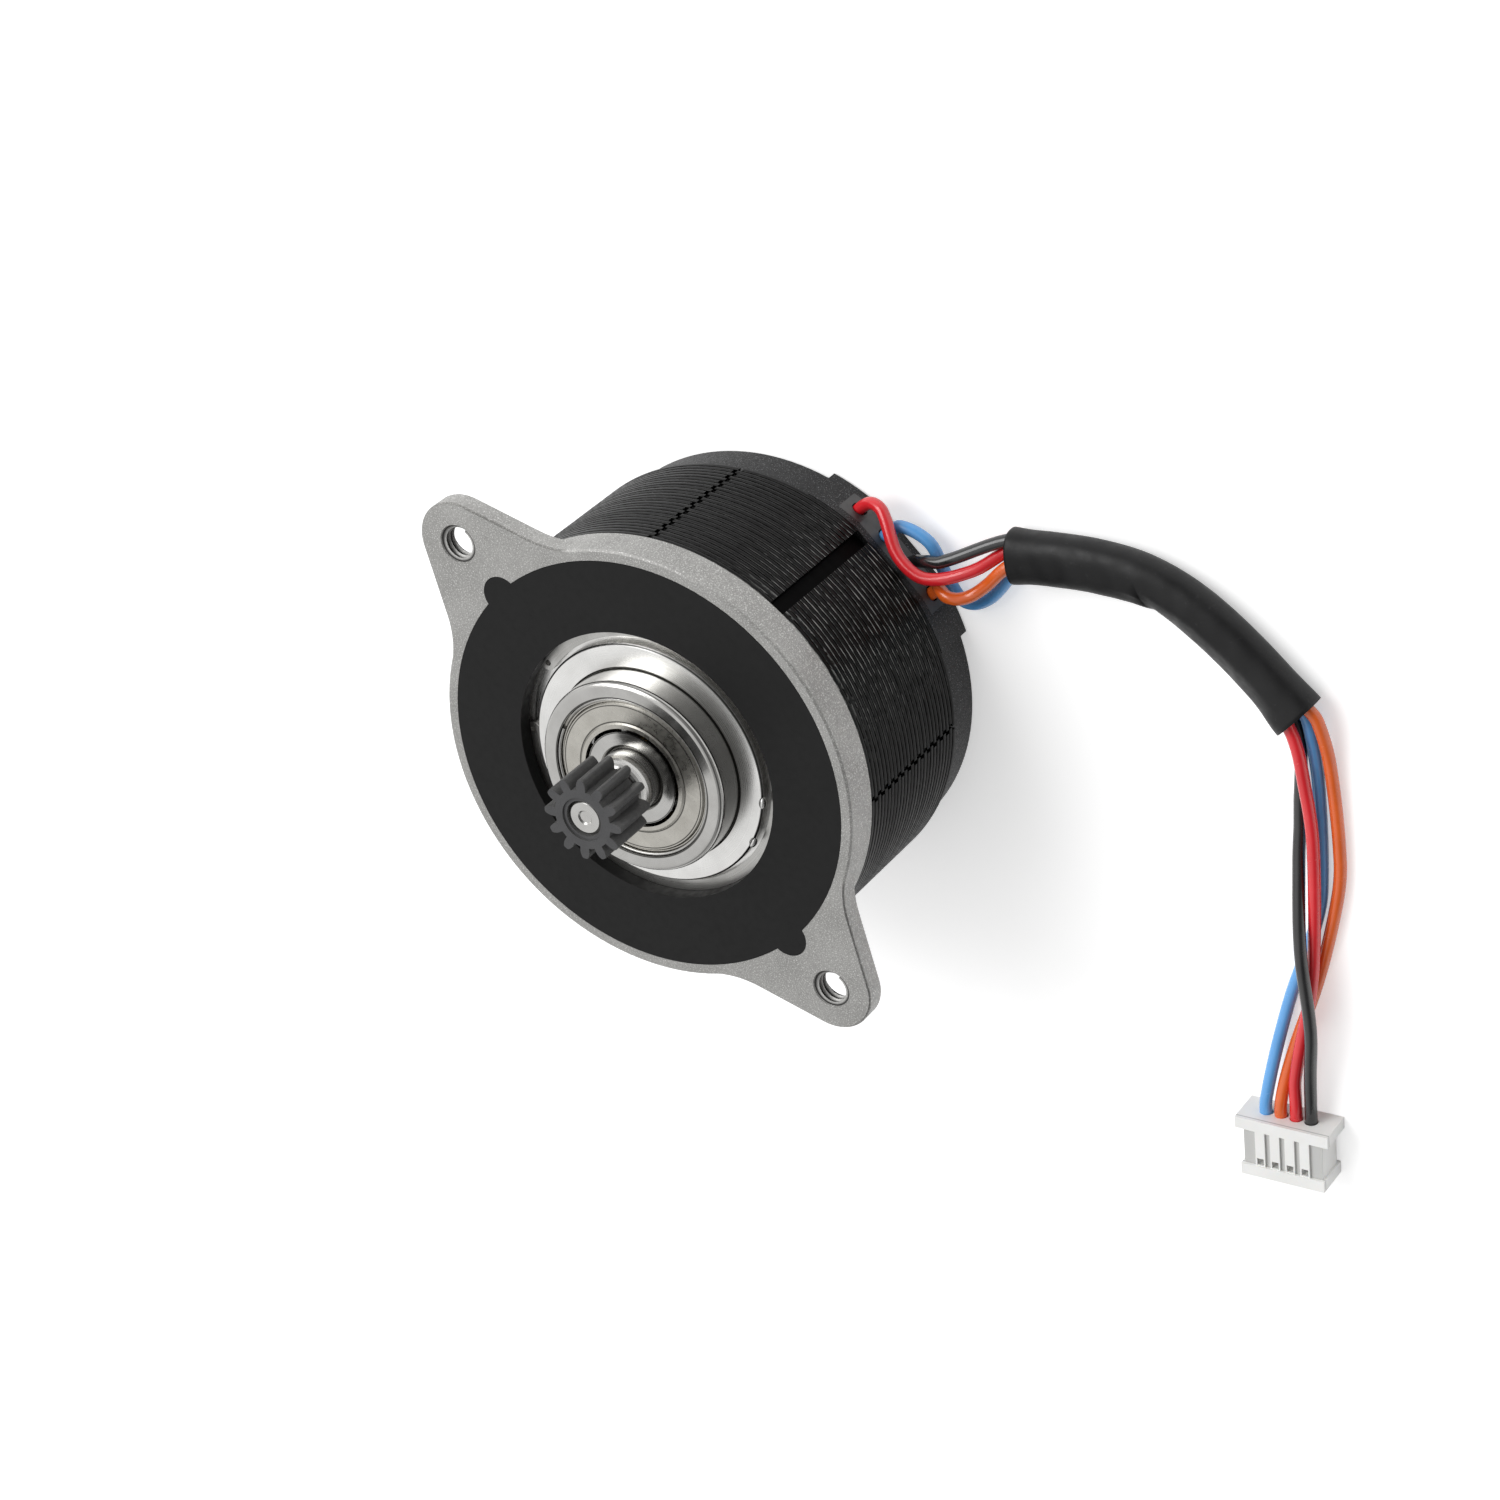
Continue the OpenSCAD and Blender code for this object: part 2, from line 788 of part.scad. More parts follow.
module toothed_cup(turn, low, recess_at) {
    difference() {
        slab(low, low + cup_length)
            difference() {
                polygon([for (k = [0 : rotor_teeth - 1])
                    let(at = turn + tooth_pitch * k)
                    each [
                        polar(rotor_radius - tooth_depth, at - tooth_pitch / 2 + tooth_pitch / 8),
                        polar(rotor_radius, at - tooth_pitch / 4 + tooth_pitch / 16),
                        polar(rotor_radius, at + tooth_pitch / 4 - tooth_pitch / 16),
                        polar(rotor_radius - tooth_depth, at + tooth_pitch / 2 - tooth_pitch / 8)
                    ]]);
                circle(d = shaft_diameter);
            }
        translate([0, 0, recess_at])
            rotate_extrude()
                ring_profile(cup_hub_radius, magnet_radius - 1.5 * cup_recess, 0, cup_recess);
    }
}

module rotor_cup_front() {
    color("darkgray")
        toothed_cup(0, magnet_front, rotor_front - cup_recess);
}

module rotor_magnet() {
    color("black")
        slab(magnet_back, magnet_front)
            difference() {
                circle(magnet_radius);
                circle(d = shaft_diameter);
            }
}

module rotor_cup_rear() {
    color("darkgray")
        toothed_cup(tooth_pitch / 2, rotor_back, rotor_back);
}

// Stator

core_radius = body_radius - sheet_line_depth;
shoe_half_angle = tooth_pitch * (pole_teeth - 0.5) / 2;

module shoe() {
    polygon(concat(
        [for (k = [0 : pole_teeth - 1])
            let(at = -shoe_half_angle + tooth_pitch * k)
            each [
                polar(stator_bore, at),
                polar(stator_bore, at + tooth_pitch / 2),
                if (k < pole_teeth - 1) polar(stator_bore + tooth_depth, at + tooth_pitch / 2 + tooth_pitch / 16),
                if (k < pole_teeth - 1) polar(stator_bore + tooth_depth, at + tooth_pitch - tooth_pitch / 16)
            ]],
        [for (k = [arc_steps : -1 : 0])
            polar(shoe_back, -shoe_half_angle + 2 * shoe_half_angle * k / arc_steps)]
    ));
}

module pole_sheet() {
    difference() {
        union() {
            difference() {
                circle(core_radius);
                circle(yoke_inner);
            }
            for (k = [0 : pole_count - 1])
                rotate(360 * k / pole_count) {
                    shoe();
                    translate([shoe_back - shoe_height / 2, -neck_half_width])
                        square([yoke_inner - shoe_back + shoe_height, 2 * neck_half_width]);
                }
            for (a = screw_angles)
                rotate(a)
                    translate([screw_circle, 0])
                        circle(screw_lobe);
        }
        for (a = screw_angles)
            rotate(a)
                translate([screw_circle, 0])
                    circle(screw_radius + fit_gap);
        rotate(datum_angle)
            translate([body_radius, 0])
                square([2 * datum_depth + sheet_line_depth, datum_width], center = true);
    }
}

module sheet_edge(shift) {
    difference() {
        circle(body_radius);
        circle(core_radius - sheet_line_depth);
        for (a = seam_angles)
            rotate(a)
                translate([body_radius, shift])
                    square([2 * seam_depth, seam_notch_width], center = true);
        rotate(datum_angle)
            translate([body_radius, 0])
                square([3 * datum_depth, datum_width], center = true);
    }
}

sheet_count = floor(stack_length / sheet_pitch);

module stator_stack() {
    color("dimgray") {
        slab(stack_back, rim_back)
            pole_sheet();
        for (k = [0 : sheet_count - 1])
            slab(rim_back - (k + 1) * sheet_pitch + sheet_line, rim_back - k * sheet_pitch)
                sheet_edge(k % 2 == 0 ? seam_shift : -seam_shift);
    }
}

insulator_inner = shoe_back;
coil_inner_radius = insulator_inner + insulator_rim_wall + coil_gap;
coil_outer_radius = yoke_inner - coil_wall_gap;

module insulator_arms() {
    for (k = [0 : pole_count - 1])
        rotate(360 * k / pole_count)
            translate([insulator_inner, -arm_half_width])
                square([yoke_inner - edge_break - insulator_inner, 2 * arm_half_width]);
}

module insulator() {
    rotate_extrude()
        ring_profile(insulator_inner, insulator_inner + insulator_rim_wall, 0, insulator_rim_height);
    slab(0, arm_height)
        difference() {
            insulator_arms();
            circle(insulator_inner + insulator_rim_wall / 2);
        }
}

module front_insulator() {
    color("ivory")
        translate([0, 0, rim_back])
            insulator();
}

module rear_insulator() {
    color("ivory")
        translate([0, 0, stack_back])
            mirror([0, 0, 1])
                insulator();
}

module coil() {
    front = rim_back + arm_height + coil_build;
    back = stack_back - arm_height - coil_build;
    inner_front = rim_back + arm_height;
    inner_back = stack_back - arm_height;
    wide = arm_half_width + coil_build;
    difference() {
        translate([coil_inner_radius, -wide, back])
            cube([coil_outer_radius - coil_inner_radius, 2 * wide, front - back]);
        translate([coil_inner_radius - overrun, -arm_half_width, inner_back])
            cube([
                coil_outer_radius - coil_inner_radius + 2 * overrun,
                2 * arm_half_width,
                inner_front - inner_back
            ]);
        for (side = [-1, 1])
            for (end = [0, 1])
                translate([coil_inner_radius - overrun, side * wide, end == 0 ? front : back])
                    rotate([45, 0, 0])
                        translate([0, -coil_round / 2, -coil_round / 2])
                            cube([coil_outer_radius - coil_inner_radius + 2 * overrun, coil_round, coil_round]);
    }
}

module stator_windings() {
    color("peru")
        for (k = [0 : pole_count - 1])
            rotate(360 * k / pole_count)
                coil();
}

// Rear cover with the raised outlet

module outlet_plan() {
    intersection() {
        circle(body_radius);
        translate([-outlet_half_width, 0])
            square([2 * outlet_half_width, body_radius - outlet_flat_depth]);
    }
}

module block_window(gap) {
    translate([block_left - gap, block_back - gap, base + block_low_wall - gap])
        cube([block_right - block_left + 2 * gap, body_radius - block_back, block_height + 2 * gap]);
}

module rear_cover() {
    boss = bearing_radius + rear_boss_wall;
    color("black")
        difference() {
            union() {
                translate([0, 0, base])
                    cylinder(r1 = cover_radius - edge_break, r2 = cover_radius, h = edge_break);
                translate([0, 0, base + edge_break])
                    cylinder(r = cover_radius, h = cover_length - edge_break);
                slab(base + edge_break, stack_back)
                    outlet_plan();
            }
            difference() {
                translate([0, 0, base + cover_wall])
                    cylinder(r = cover_radius - cover_side_wall, h = cover_length);
                translate([0, 0, base])
                    cylinder(r = boss, h = cover_length + overrun);
                for (a = screw_angles)
                    rotate(a)
                        translate([screw_circle, 0, base])
                            cylinder(r = screw_lobe, h = cover_length + overrun);
            }
            translate([0, 0, base + cover_wall])
                cylinder(r = bearing_radius, h = cover_length);
            translate([0, 0, base - overrun])
                cylinder(r = shaft_diameter / 2 + cover_hole_gap, h = cover_wall + 2 * overrun);
            block_window(0);
            for (a = screw_angles)
                rotate(a)
                    translate([screw_circle, 0, base - overrun]) {
                        cylinder(r = screw_radius + fit_gap, h = cover_length + 2 * overrun);
                        cylinder(r = screw_head_radius + fit_gap, h = screw_head_height + overrun);
                    }
        }
}

module tie_screws() {
    top = -disc_thickness - web_thickness - screw_end_gap;
    color("gray")
        for (a = screw_angles)
            rotate(a)
                translate([screw_circle, 0, 0])
                    difference() {
                        union() {
                            translate([0, 0, base])
                                cylinder(r = screw_head_radius, h = screw_head_height);
                            translate([0, 0, base + screw_head_height])
                                cylinder(r = screw_radius, h = top - base - screw_head_height);
                        }
                        translate([0, 0, base - overrun])
                            cylinder(r = socket_radius, h = socket_depth + overrun, $fn = 6);
                    }
}

module lead_block() {
    color("dimgray")
        difference() {
            intersection() {
                block_window(0);
                translate([0, 0, base])
                    linear_extrude(cover_length)
                        outlet_plan();
            }
            for (x = exit_xs)
                translate([x, exit_end, base + exit_height])
                    rotate([-90, 0, 0])
                        cylinder(d = wire_diameter + 2 * exit_hole_gap, h = body_radius - exit_end, $fn = 32);
        }
}

// Lead

plug_place = [plug_x, plug_y, base + plug_height];

function way_offset(way) = (way - (way_count - 1) / 2) * way_pitch;

function plug_point(way, deep) =
    plug_place + [
        -sin(plug_turn) * way_offset(way) + cos(plug_turn) * deep,
        cos(plug_turn) * way_offset(way) + sin(plug_turn) * deep,
        0
    ];

module wire(route, way) {
    start = [route[0].x, exit_end, route[0].z];
    tube(
        concat([start], route, [plug_point(way, -stub_length), plug_point(way, cavity_start)]),
        wire_radius, tube_sides
    );
}

module wire_blue() {
    color("cornflowerblue")
        wire(blue_route, 0);
}

module wire_orange() {
    color("darkorange")
        wire(orange_route, 1);
}

module wire_red() {
    color("red")
        wire(red_route, 2);
}

module wire_black() {
    color("black")
        wire(black_route, 3);
}

function sleeve_tangent(i) =
    let(last = len(sleeve_route) - 1)
    unit(sleeve_route[min(i + 1, last)] - sleeve_route[max(i - 1, 0)]);

function sleeve_ring(i, wide, high) =
    let(ahead = sleeve_tangent(i))
    [for (k = [0 : sleeve_sides - 1])
        let(
            a = 360 * k / sleeve_sides,
            c = sign(cos(a)) * pow(abs(cos(a)), sleeve_round) * wide,
            s = sign(sin(a)) * pow(abs(sin(a)), sleeve_round) * high
        )
        [
            sleeve_route[i].x - ahead.y * c,
            sleeve_route[i].y + ahead.x * c,
            base + sleeve_height / 2 + s
        ]];

module heat_shrink_sleeve() {
    rows = len(sleeve_route);
    n = sleeve_sides;
    shell = [for (i = [0 : rows - 1]) each sleeve_ring(i, sleeve_width / 2, sleeve_height / 2)];
    bore = [for (i = [0 : rows - 1])
        each sleeve_ring(i, sleeve_width / 2 - sleeve_wall, sleeve_height / 2 - sleeve_wall)];
    far = rows * n;
    walls = [for (i = [0 : rows - 2]) for (k = [0 : n - 1]) let(j = (k + 1) % n) each [
        [i * n + k, i * n + j, (i + 1) * n + j],
        [i * n + k, (i + 1) * n + j, (i + 1) * n + k],
        [far + i * n + k, far + (i + 1) * n + j, far + i * n + j],
        [far + i * n + k, far + (i + 1) * n + k, far + (i + 1) * n + j]
    ]];
    ends = [for (k = [0 : n - 1]) let(j = (k + 1) % n, e = (rows - 1) * n) each [
        [k, far + k, far + j],
        [k, far + j, j],
        [e + k, e + j, far + e + j],
        [e + k, far + e + j, far + e + k]
    ]];
    color("darkslategray")
        polyhedron(points = concat(shell, bore), faces = concat(walls, ends));
}

module in_plug() {
    translate(plug_place)
        rotate(plug_turn)
            children();
}

module connector_housing() {
    half = housing_thickness / 2;
    body_long = housing_length - rim_deep - nose_deep;
    color("white")
        in_plug()
            difference() {
                union() {
                    translate([0, -rim_wide / 2, -half])
                        cube([rim_deep, rim_wide, housing_thickness]);
                    translate([rim_deep, -housing_wide / 2, -half + body_step])
                        cube([body_long, housing_wide, housing_thickness - 2 * body_step]);
                    translate([rim_deep + body_long, -nose_wide / 2, -half])
                        cube([nose_deep, nose_wide, housing_thickness]);
                    for (way = [0 : way_count - 1])
                        translate([rim_deep, way_offset(way) - rib_half_width, 0])
                            cube([body_long, 2 * rib_half_width, half - rib_step]);
                }
                for (way = [0 : way_count - 1])
                    translate([0, way_offset(way), 0]) {
                        translate([-overrun, 0, 0])
                            rotate([0, 90, 0])
                                cylinder(d = wire_diameter + 2 * entry_gap, h = cavity_start + overrun, $fn = 32);
                        translate([cavity_start, -cavity_width / 2, -cavity_width / 2])
                            cube([housing_length, cavity_width, cavity_width]);
                        translate([window_start, -cavity_width / 3, 0])
                            cube([window_length, 2 * cavity_width / 3, housing_thickness]);
                    }
            }
}

module crimp_terminals() {
    color("gold")
        in_plug()
            for (way = [0 : way_count - 1])
                translate([cavity_start, way_offset(way) - cavity_width / 2, -cavity_width / 2])
                    difference() {
                        cube([terminal_length, cavity_width, cavity_width - terminal_wall]);
                        translate([terminal_wall, terminal_wall, terminal_wall])
                            cube([terminal_length, cavity_width - 2 * terminal_wall, cavity_width]);
                    }
}

front_flange();
front_disc();
bearing_hub();
snap_ring();
front_bearing_outer_ring();
front_bearing_shield();
shield_snap_wire();
front_bearing_inner_ring();
front_bearing_balls();
front_bearing_cage();
motor_shaft();
pinion();
rotor_cup_front();
rotor_magnet();
rotor_cup_rear();
rear_bearing_inner_ring();
rear_bearing_balls();
rear_bearing_cage();
rear_bearing_outer_ring();
rear_bearing_shields();
wave_washer();
stator_stack();
front_insulator();
rear_insulator();
stator_windings();
rear_cover();
tie_screws();
lead_block();
wire_red();
wire_blue();
wire_black();
wire_orange();
heat_shrink_sleeve();
connector_housing();
crimp_terminals();
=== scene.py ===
import json
import math

import bpy
from mathutils import Matrix, Vector


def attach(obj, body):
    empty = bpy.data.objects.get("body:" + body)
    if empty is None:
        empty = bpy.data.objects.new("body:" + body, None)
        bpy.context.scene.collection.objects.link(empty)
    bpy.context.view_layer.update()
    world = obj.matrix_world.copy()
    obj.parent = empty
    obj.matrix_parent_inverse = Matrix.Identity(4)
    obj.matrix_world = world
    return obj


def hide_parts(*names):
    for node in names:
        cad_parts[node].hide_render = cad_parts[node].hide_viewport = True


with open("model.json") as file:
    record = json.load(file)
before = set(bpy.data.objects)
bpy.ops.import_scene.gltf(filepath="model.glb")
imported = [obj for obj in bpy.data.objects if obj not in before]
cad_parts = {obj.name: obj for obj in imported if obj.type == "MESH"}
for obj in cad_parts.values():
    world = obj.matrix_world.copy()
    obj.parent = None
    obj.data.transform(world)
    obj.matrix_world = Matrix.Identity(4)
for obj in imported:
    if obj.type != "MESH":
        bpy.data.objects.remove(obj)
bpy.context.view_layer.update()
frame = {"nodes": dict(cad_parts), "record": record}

NODES = frame["nodes"]
MM = 0.001
FLOOR = -20 * MM
EAR_REACH = 21.92
# Painted shade: the dark colour laid along the joints between parts, where shade falls
JOINT_SHADE = (0.03, 0.029, 0.027)

# The stack: its sheets, its wide groove, and the side where its sheet edges carry painted glints
SHEET = 0.5 * MM
SHEETS_START = 3 * MM
GROOVE_HALF = 0.63 * MM
GROOVE_TURN = math.radians(98.8)
GROOVE_WAY = (math.cos(GROOVE_TURN), math.sin(GROOVE_TURN), 0)
GROOVE_SIDE = (-math.sin(GROOVE_TURN), math.cos(GROOVE_TURN), 0)
GLINT_TURN = math.radians(84)

# The fold across the sleeve: its place along a direction, and where in x its shade grows
FOLD_WAY = (0.43, 0.903, 0)
FOLD_AT = 35.86 * MM
FOLD_START = 12.4 * MM
FOLD_FULL = 13.6 * MM


# Camera

LENS = 96.52
CAMERA_AT = (-0.00216, 0.21312, 0.21640)
RIGHT = Vector((0.6423, 0.5672, -0.5155))
UP = Vector((-0.7662, 0.4570, -0.4518))
BACK = Vector((-0.0207, 0.6852, 0.7281))


def make_camera():
    data = bpy.data.cameras.new("camera")
    data.lens = LENS
    data.sensor_width = 36
    data.sensor_fit = "HORIZONTAL"
    data.clip_start = 0.01
    data.clip_end = 10
    cam = bpy.data.objects.new("camera", data)
    bpy.context.scene.collection.objects.link(cam)
    cam.rotation_mode = "QUATERNION"
    cam.rotation_quaternion = Matrix((RIGHT, UP, BACK)).transposed().to_quaternion()
    cam.location = CAMERA_AT
    bpy.context.scene.camera = cam


make_camera()


# Nodes of a material

def feed(tree, socket, value):
    """Link a socket to another one, or set it to a constant."""
    if isinstance(value, bpy.types.NodeSocket):
        tree.links.new(value, socket)
    else:
        socket.default_value = value


def add(tree, kind, sockets=None, **settings):
    """A new node with its settings and what feeds its sockets."""
    node = tree.nodes.new(kind)
    for key, value in settings.items():
        setattr(node, key, value)
    for key, value in (sockets or {}).items():
        feed(tree, node.inputs[key], value)
    return node


class Surface:
    """A procedural material: its shader, and small helpers for what feeds it."""

    def __init__(self, name, **sockets):
        self.material = bpy.data.materials.new(name)
        self.material.use_nodes = True
        self.tree = self.material.node_tree
        self.tree.nodes.clear()
        self.shader = add(self.tree, "ShaderNodeBsdfPrincipled")
        out = add(self.tree, "ShaderNodeOutputMaterial")
        self.tree.links.new(self.shader.outputs["BSDF"], out.inputs["Surface"])
        self.place = add(self.tree, "ShaderNodeTexCoord").outputs["Object"]
        self.normal = None
        self.set(**sockets)

    def set(self, **sockets):
        for key, value in sockets.items():
            feed(self.tree, self.shader.inputs[key.replace("_", " ")], value)

    def stretched(self, scale, turn=(0, 0, 0)):
        return add(self.tree, "ShaderNodeMapping",
                   {"Vector": self.place, "Scale": scale, "Rotation": turn}).outputs["Vector"]

    def noise(self, scale, detail=2.0, rough=0.5, at=None):
        return add(self.tree, "ShaderNodeTexNoise",
                   {"Vector": at or self.place, "Scale": scale, "Detail": detail,
                    "Roughness": rough}).outputs["Fac"]

    def cells(self, scale):
        return add(self.tree, "ShaderNodeTexVoronoi",
                   {"Vector": self.place, "Scale": scale}).outputs["Distance"]

    def math(self, operation, a, b=0.0):
        return add(self.tree, "ShaderNodeMath", {0: a, 1: b}, operation=operation).outputs[0]

    def between(self, value, low, high, to_low=0.0, to_high=1.0):
        """The value, mapped from low to high onto to_low to to_high and held at its ends."""
        return add(self.tree, "ShaderNodeMapRange",
                   {"Value": value, "From Min": low, "From Max": high,
                    "To Min": to_low, "To Max": to_high}).outputs["Result"]

    def mix(self, factor, a, b):
        """Colour a where the factor is 0, colour b where it is 1."""
        a, b = [c if isinstance(c, bpy.types.NodeSocket) else (*c, 1) for c in (a, b)]
        return add(self.tree, "ShaderNodeMix", {0: factor, 6: a, 7: b}, data_type="RGBA").outputs[2]

    def parts(self):
        split = add(self.tree, "ShaderNodeSeparateXYZ", {"Vector": self.place})
        return split.outputs["X"], split.outputs["Y"], split.outputs["Z"]

    def reach(self, x, y):
        """The length of a flat vector."""
        squares = self.math("ADD", self.math("MULTIPLY", x, x), self.math("MULTIPLY", y, y))
        return self.math("SQRT", squares)

    def radius(self):
        x, y, _ = self.parts()
        return self.reach(x, y)

    def along(self, way):
        """How far a point lies along a direction."""
        return add(self.tree, "ShaderNodeVectorMath", {0: self.place, 1: way},
                   operation="DOT_PRODUCT").outputs["Value"]

    def near(self, value, middle, width, most):
        """A line: most in its middle, from 0.4 of its width down to nothing at its width."""
        off = self.math("ABSOLUTE", self.math("SUBTRACT", value, middle * MM))
        return self.between(off, 0.4 * width * MM, width * MM, most, 0)

    def bump(self, height, depth_mm, strength=1.0):
        sockets = {"Height": height, "Distance": depth_mm * MM, "Strength": strength}
        if self.normal is not None:
            sockets["Normal"] = self.normal
        self.normal = add(self.tree, "ShaderNodeBump", sockets).outputs["Normal"]
        self.set(Normal=self.normal)


# Materials

def casting():
    """Bead-blasted die casting: matt grey with painted glints as its fine sparkle, small pits, and
    painted light and shade on its hole threads.
    """
    s = Surface("flange_casting", Metallic=0.6, Specular_IOR_Level=0.4)
    cloud = s.noise(260, 3)
    glint_speck = s.noise(9000, 2, 0.7)
    colour = s.mix(s.between(cloud, 0.3, 0.7), (0.30, 0.297, 0.286), (0.37, 0.366, 0.354))
    # Painted glints: pale specks as the sparkle of the blasted surface
    colour = s.mix(s.between(glint_speck, 0.54, 0.66, 0, 0.7), colour, (0.80, 0.795, 0.78))
    colour = s.mix(s.between(s.noise(4200, 2), 0.58, 0.72, 0, 0.35), colour, (0.19, 0.185, 0.18))
    # Painted light and shade in the ear holes: the thread's crests lighter, its roots and the bore
    # dark
    x, y, _ = s.parts()
    from_hole = s.reach(s.math("SUBTRACT", s.math("ABSOLUTE", x), EAR_REACH * MM), y)
    lit_crest = s.mix(0.5, colour, (0.60, 0.595, 0.58))
    shaded_root = (0.05, 0.049, 0.047)
    outside = s.mix(s.between(from_hole, 1.51 * MM, 1.53 * MM), shaded_root, colour)
    colour = s.mix(s.between(from_hole, 1.30 * MM, 1.44 * MM), lit_crest, outside)
    s.set(Base_Color=colour, Roughness=s.between(s.noise(2400, 2), 0.3, 0.7, 0.44, 0.6))
    s.bump(s.noise(6500, 3, 0.65), 0.045, 0.6)
    return s


def disc_paint():
    """Black insulating disc: flat, a little cloudy, with a few specks of dust."""
    s = Surface("disc_black", Specular_IOR_Level=0.16)
    cloud = s.noise(240, 4)
    colour = s.mix(cloud, (0.0075, 0.0075, 0.0075), (0.011, 0.011, 0.011))
    dust = s.between(s.cells(900), 0.0, 0.05, 1, 0)
    colour = s.mix(s.math("MULTIPLY", dust, 0.08), colour, (0.15, 0.15, 0.15))
    s.set(Base_Color=colour, Roughness=s.between(s.noise(1500, 3), 0.3, 0.7, 0.40, 0.56))
    s.bump(s.noise(9000, 2), 0.008, 0.3)
    return s


def turned(name, colour, dark, low, high, lines, aniso, joints=()):
    """Turned or ground steel with fine rings about the shaft axis, and painted shade in its joints.
    """
    s = Surface(name, Metallic=1.0, Anisotropic=aniso)
    reach = s.radius()
    ring = add(s.tree, "ShaderNodeTexNoise",
               {"W": s.math("ADD", reach, s.parts()[2]),
                "Scale": 14000, "Detail": 3, "Roughness": 0.6},
               noise_dimensions="1D").outputs["Fac"]
    haze = s.noise(420, 3)
    tone = s.mix(s.between(haze, 0.3, 0.75), colour, dark)
    drawn = s.stretched((1, 0.06, 1), (0.3, 0.9, 0.5))
    scratch = s.between(s.noise(2600, 2, 0.5, drawn), 0.66, 0.74, 0, 0.35)
    tone = s.mix(scratch, tone, dark)
    # Painted shade: a dark line along each joint between parts
    for at, width in joints:
        tone = s.mix(s.near(reach, at, width, 0.92), tone, JOINT_SHADE)
    rough = s.between(s.math("ADD", ring, s.math("MULTIPLY", haze, 0.5)), 0.5, 1.0, low, high)
    tangent = add(s.tree, "ShaderNodeTangent", direction_type="RADIAL", axis="Z")
    s.set(Base_Color=tone, Roughness=rough, Tangent=tangent.outputs["Tangent"])
    s.bump(ring, 0.004, lines)
    return s


def pressed():
    """Pressed bearing shield: smooth, a little warm, with painted shade along its bead and rim."""
    s = Surface("shield_steel", Metallic=1.0)
    reach = s.radius()
    tone = s.mix(s.between(s.noise(700, 4), 0.3, 0.7), (0.50, 0.485, 0.445), (0.42, 0.405, 0.37))
    tone = s.mix(s.between(s.noise(5200, 2), 0.6, 0.72, 0, 0.3), tone, (0.26, 0.25, 0.23))
    # Painted shade: dark lines along the bead, the step and the rim
    for at, width in ((4.66, 0.07), (6.02, 0.06), (6.44, 0.10)):
        tone = s.mix(s.near(reach, at, width, 0.9), tone, JOINT_SHADE)
    s.set(Base_Color=tone, Roughness=s.between(s.noise(2400, 3), 0.3, 0.7, 0.24, 0.34))
    s.bump(s.noise(5200, 3), 0.006, 0.25)
    return s


def sintered():
    """Sintered steel: dark grey with pores, its flanks painted lighter than its faces as painted
    light.
    """
    s = Surface("pinion_sintered", Metallic=0.08, Specular_IOR_Level=0.25)
    cloud = s.noise(700, 3)
    pores = s.between(s.cells(9000), 0.12, 0.3, 1, 0)
    colour = s.mix(cloud, (0.058, 0.058, 0.060), (0.088, 0.088, 0.090))
    normal = add(s.tree, "ShaderNodeTexCoord").outputs["Normal"]
    facing = add(s.tree, "ShaderNodeSeparateXYZ", {"Vector": normal}).outputs["Z"]
    # Painted light: the flanks, which face sideways, lighter than the faces
    lit_flanks = s.mix(s.noise(2600, 3, 0.6), (0.085, 0.085, 0.086), (0.150, 0.149, 0.146))
    colour = s.mix(s.between(s.math("ABSOLUTE", facing), 0.2, 0.7), lit_flanks, colour)
    colour = s.mix(s.math("MULTIPLY", pores, 0.5), colour, (0.024, 0.024, 0.026))
    s.set(Base_Color=colour, Roughness=s.between(s.noise(3000, 2), 0.3, 0.7, 0.34, 0.5))
    s.bump(s.noise(8000, 3, 0.6), 0.016, 0.6)
    return s


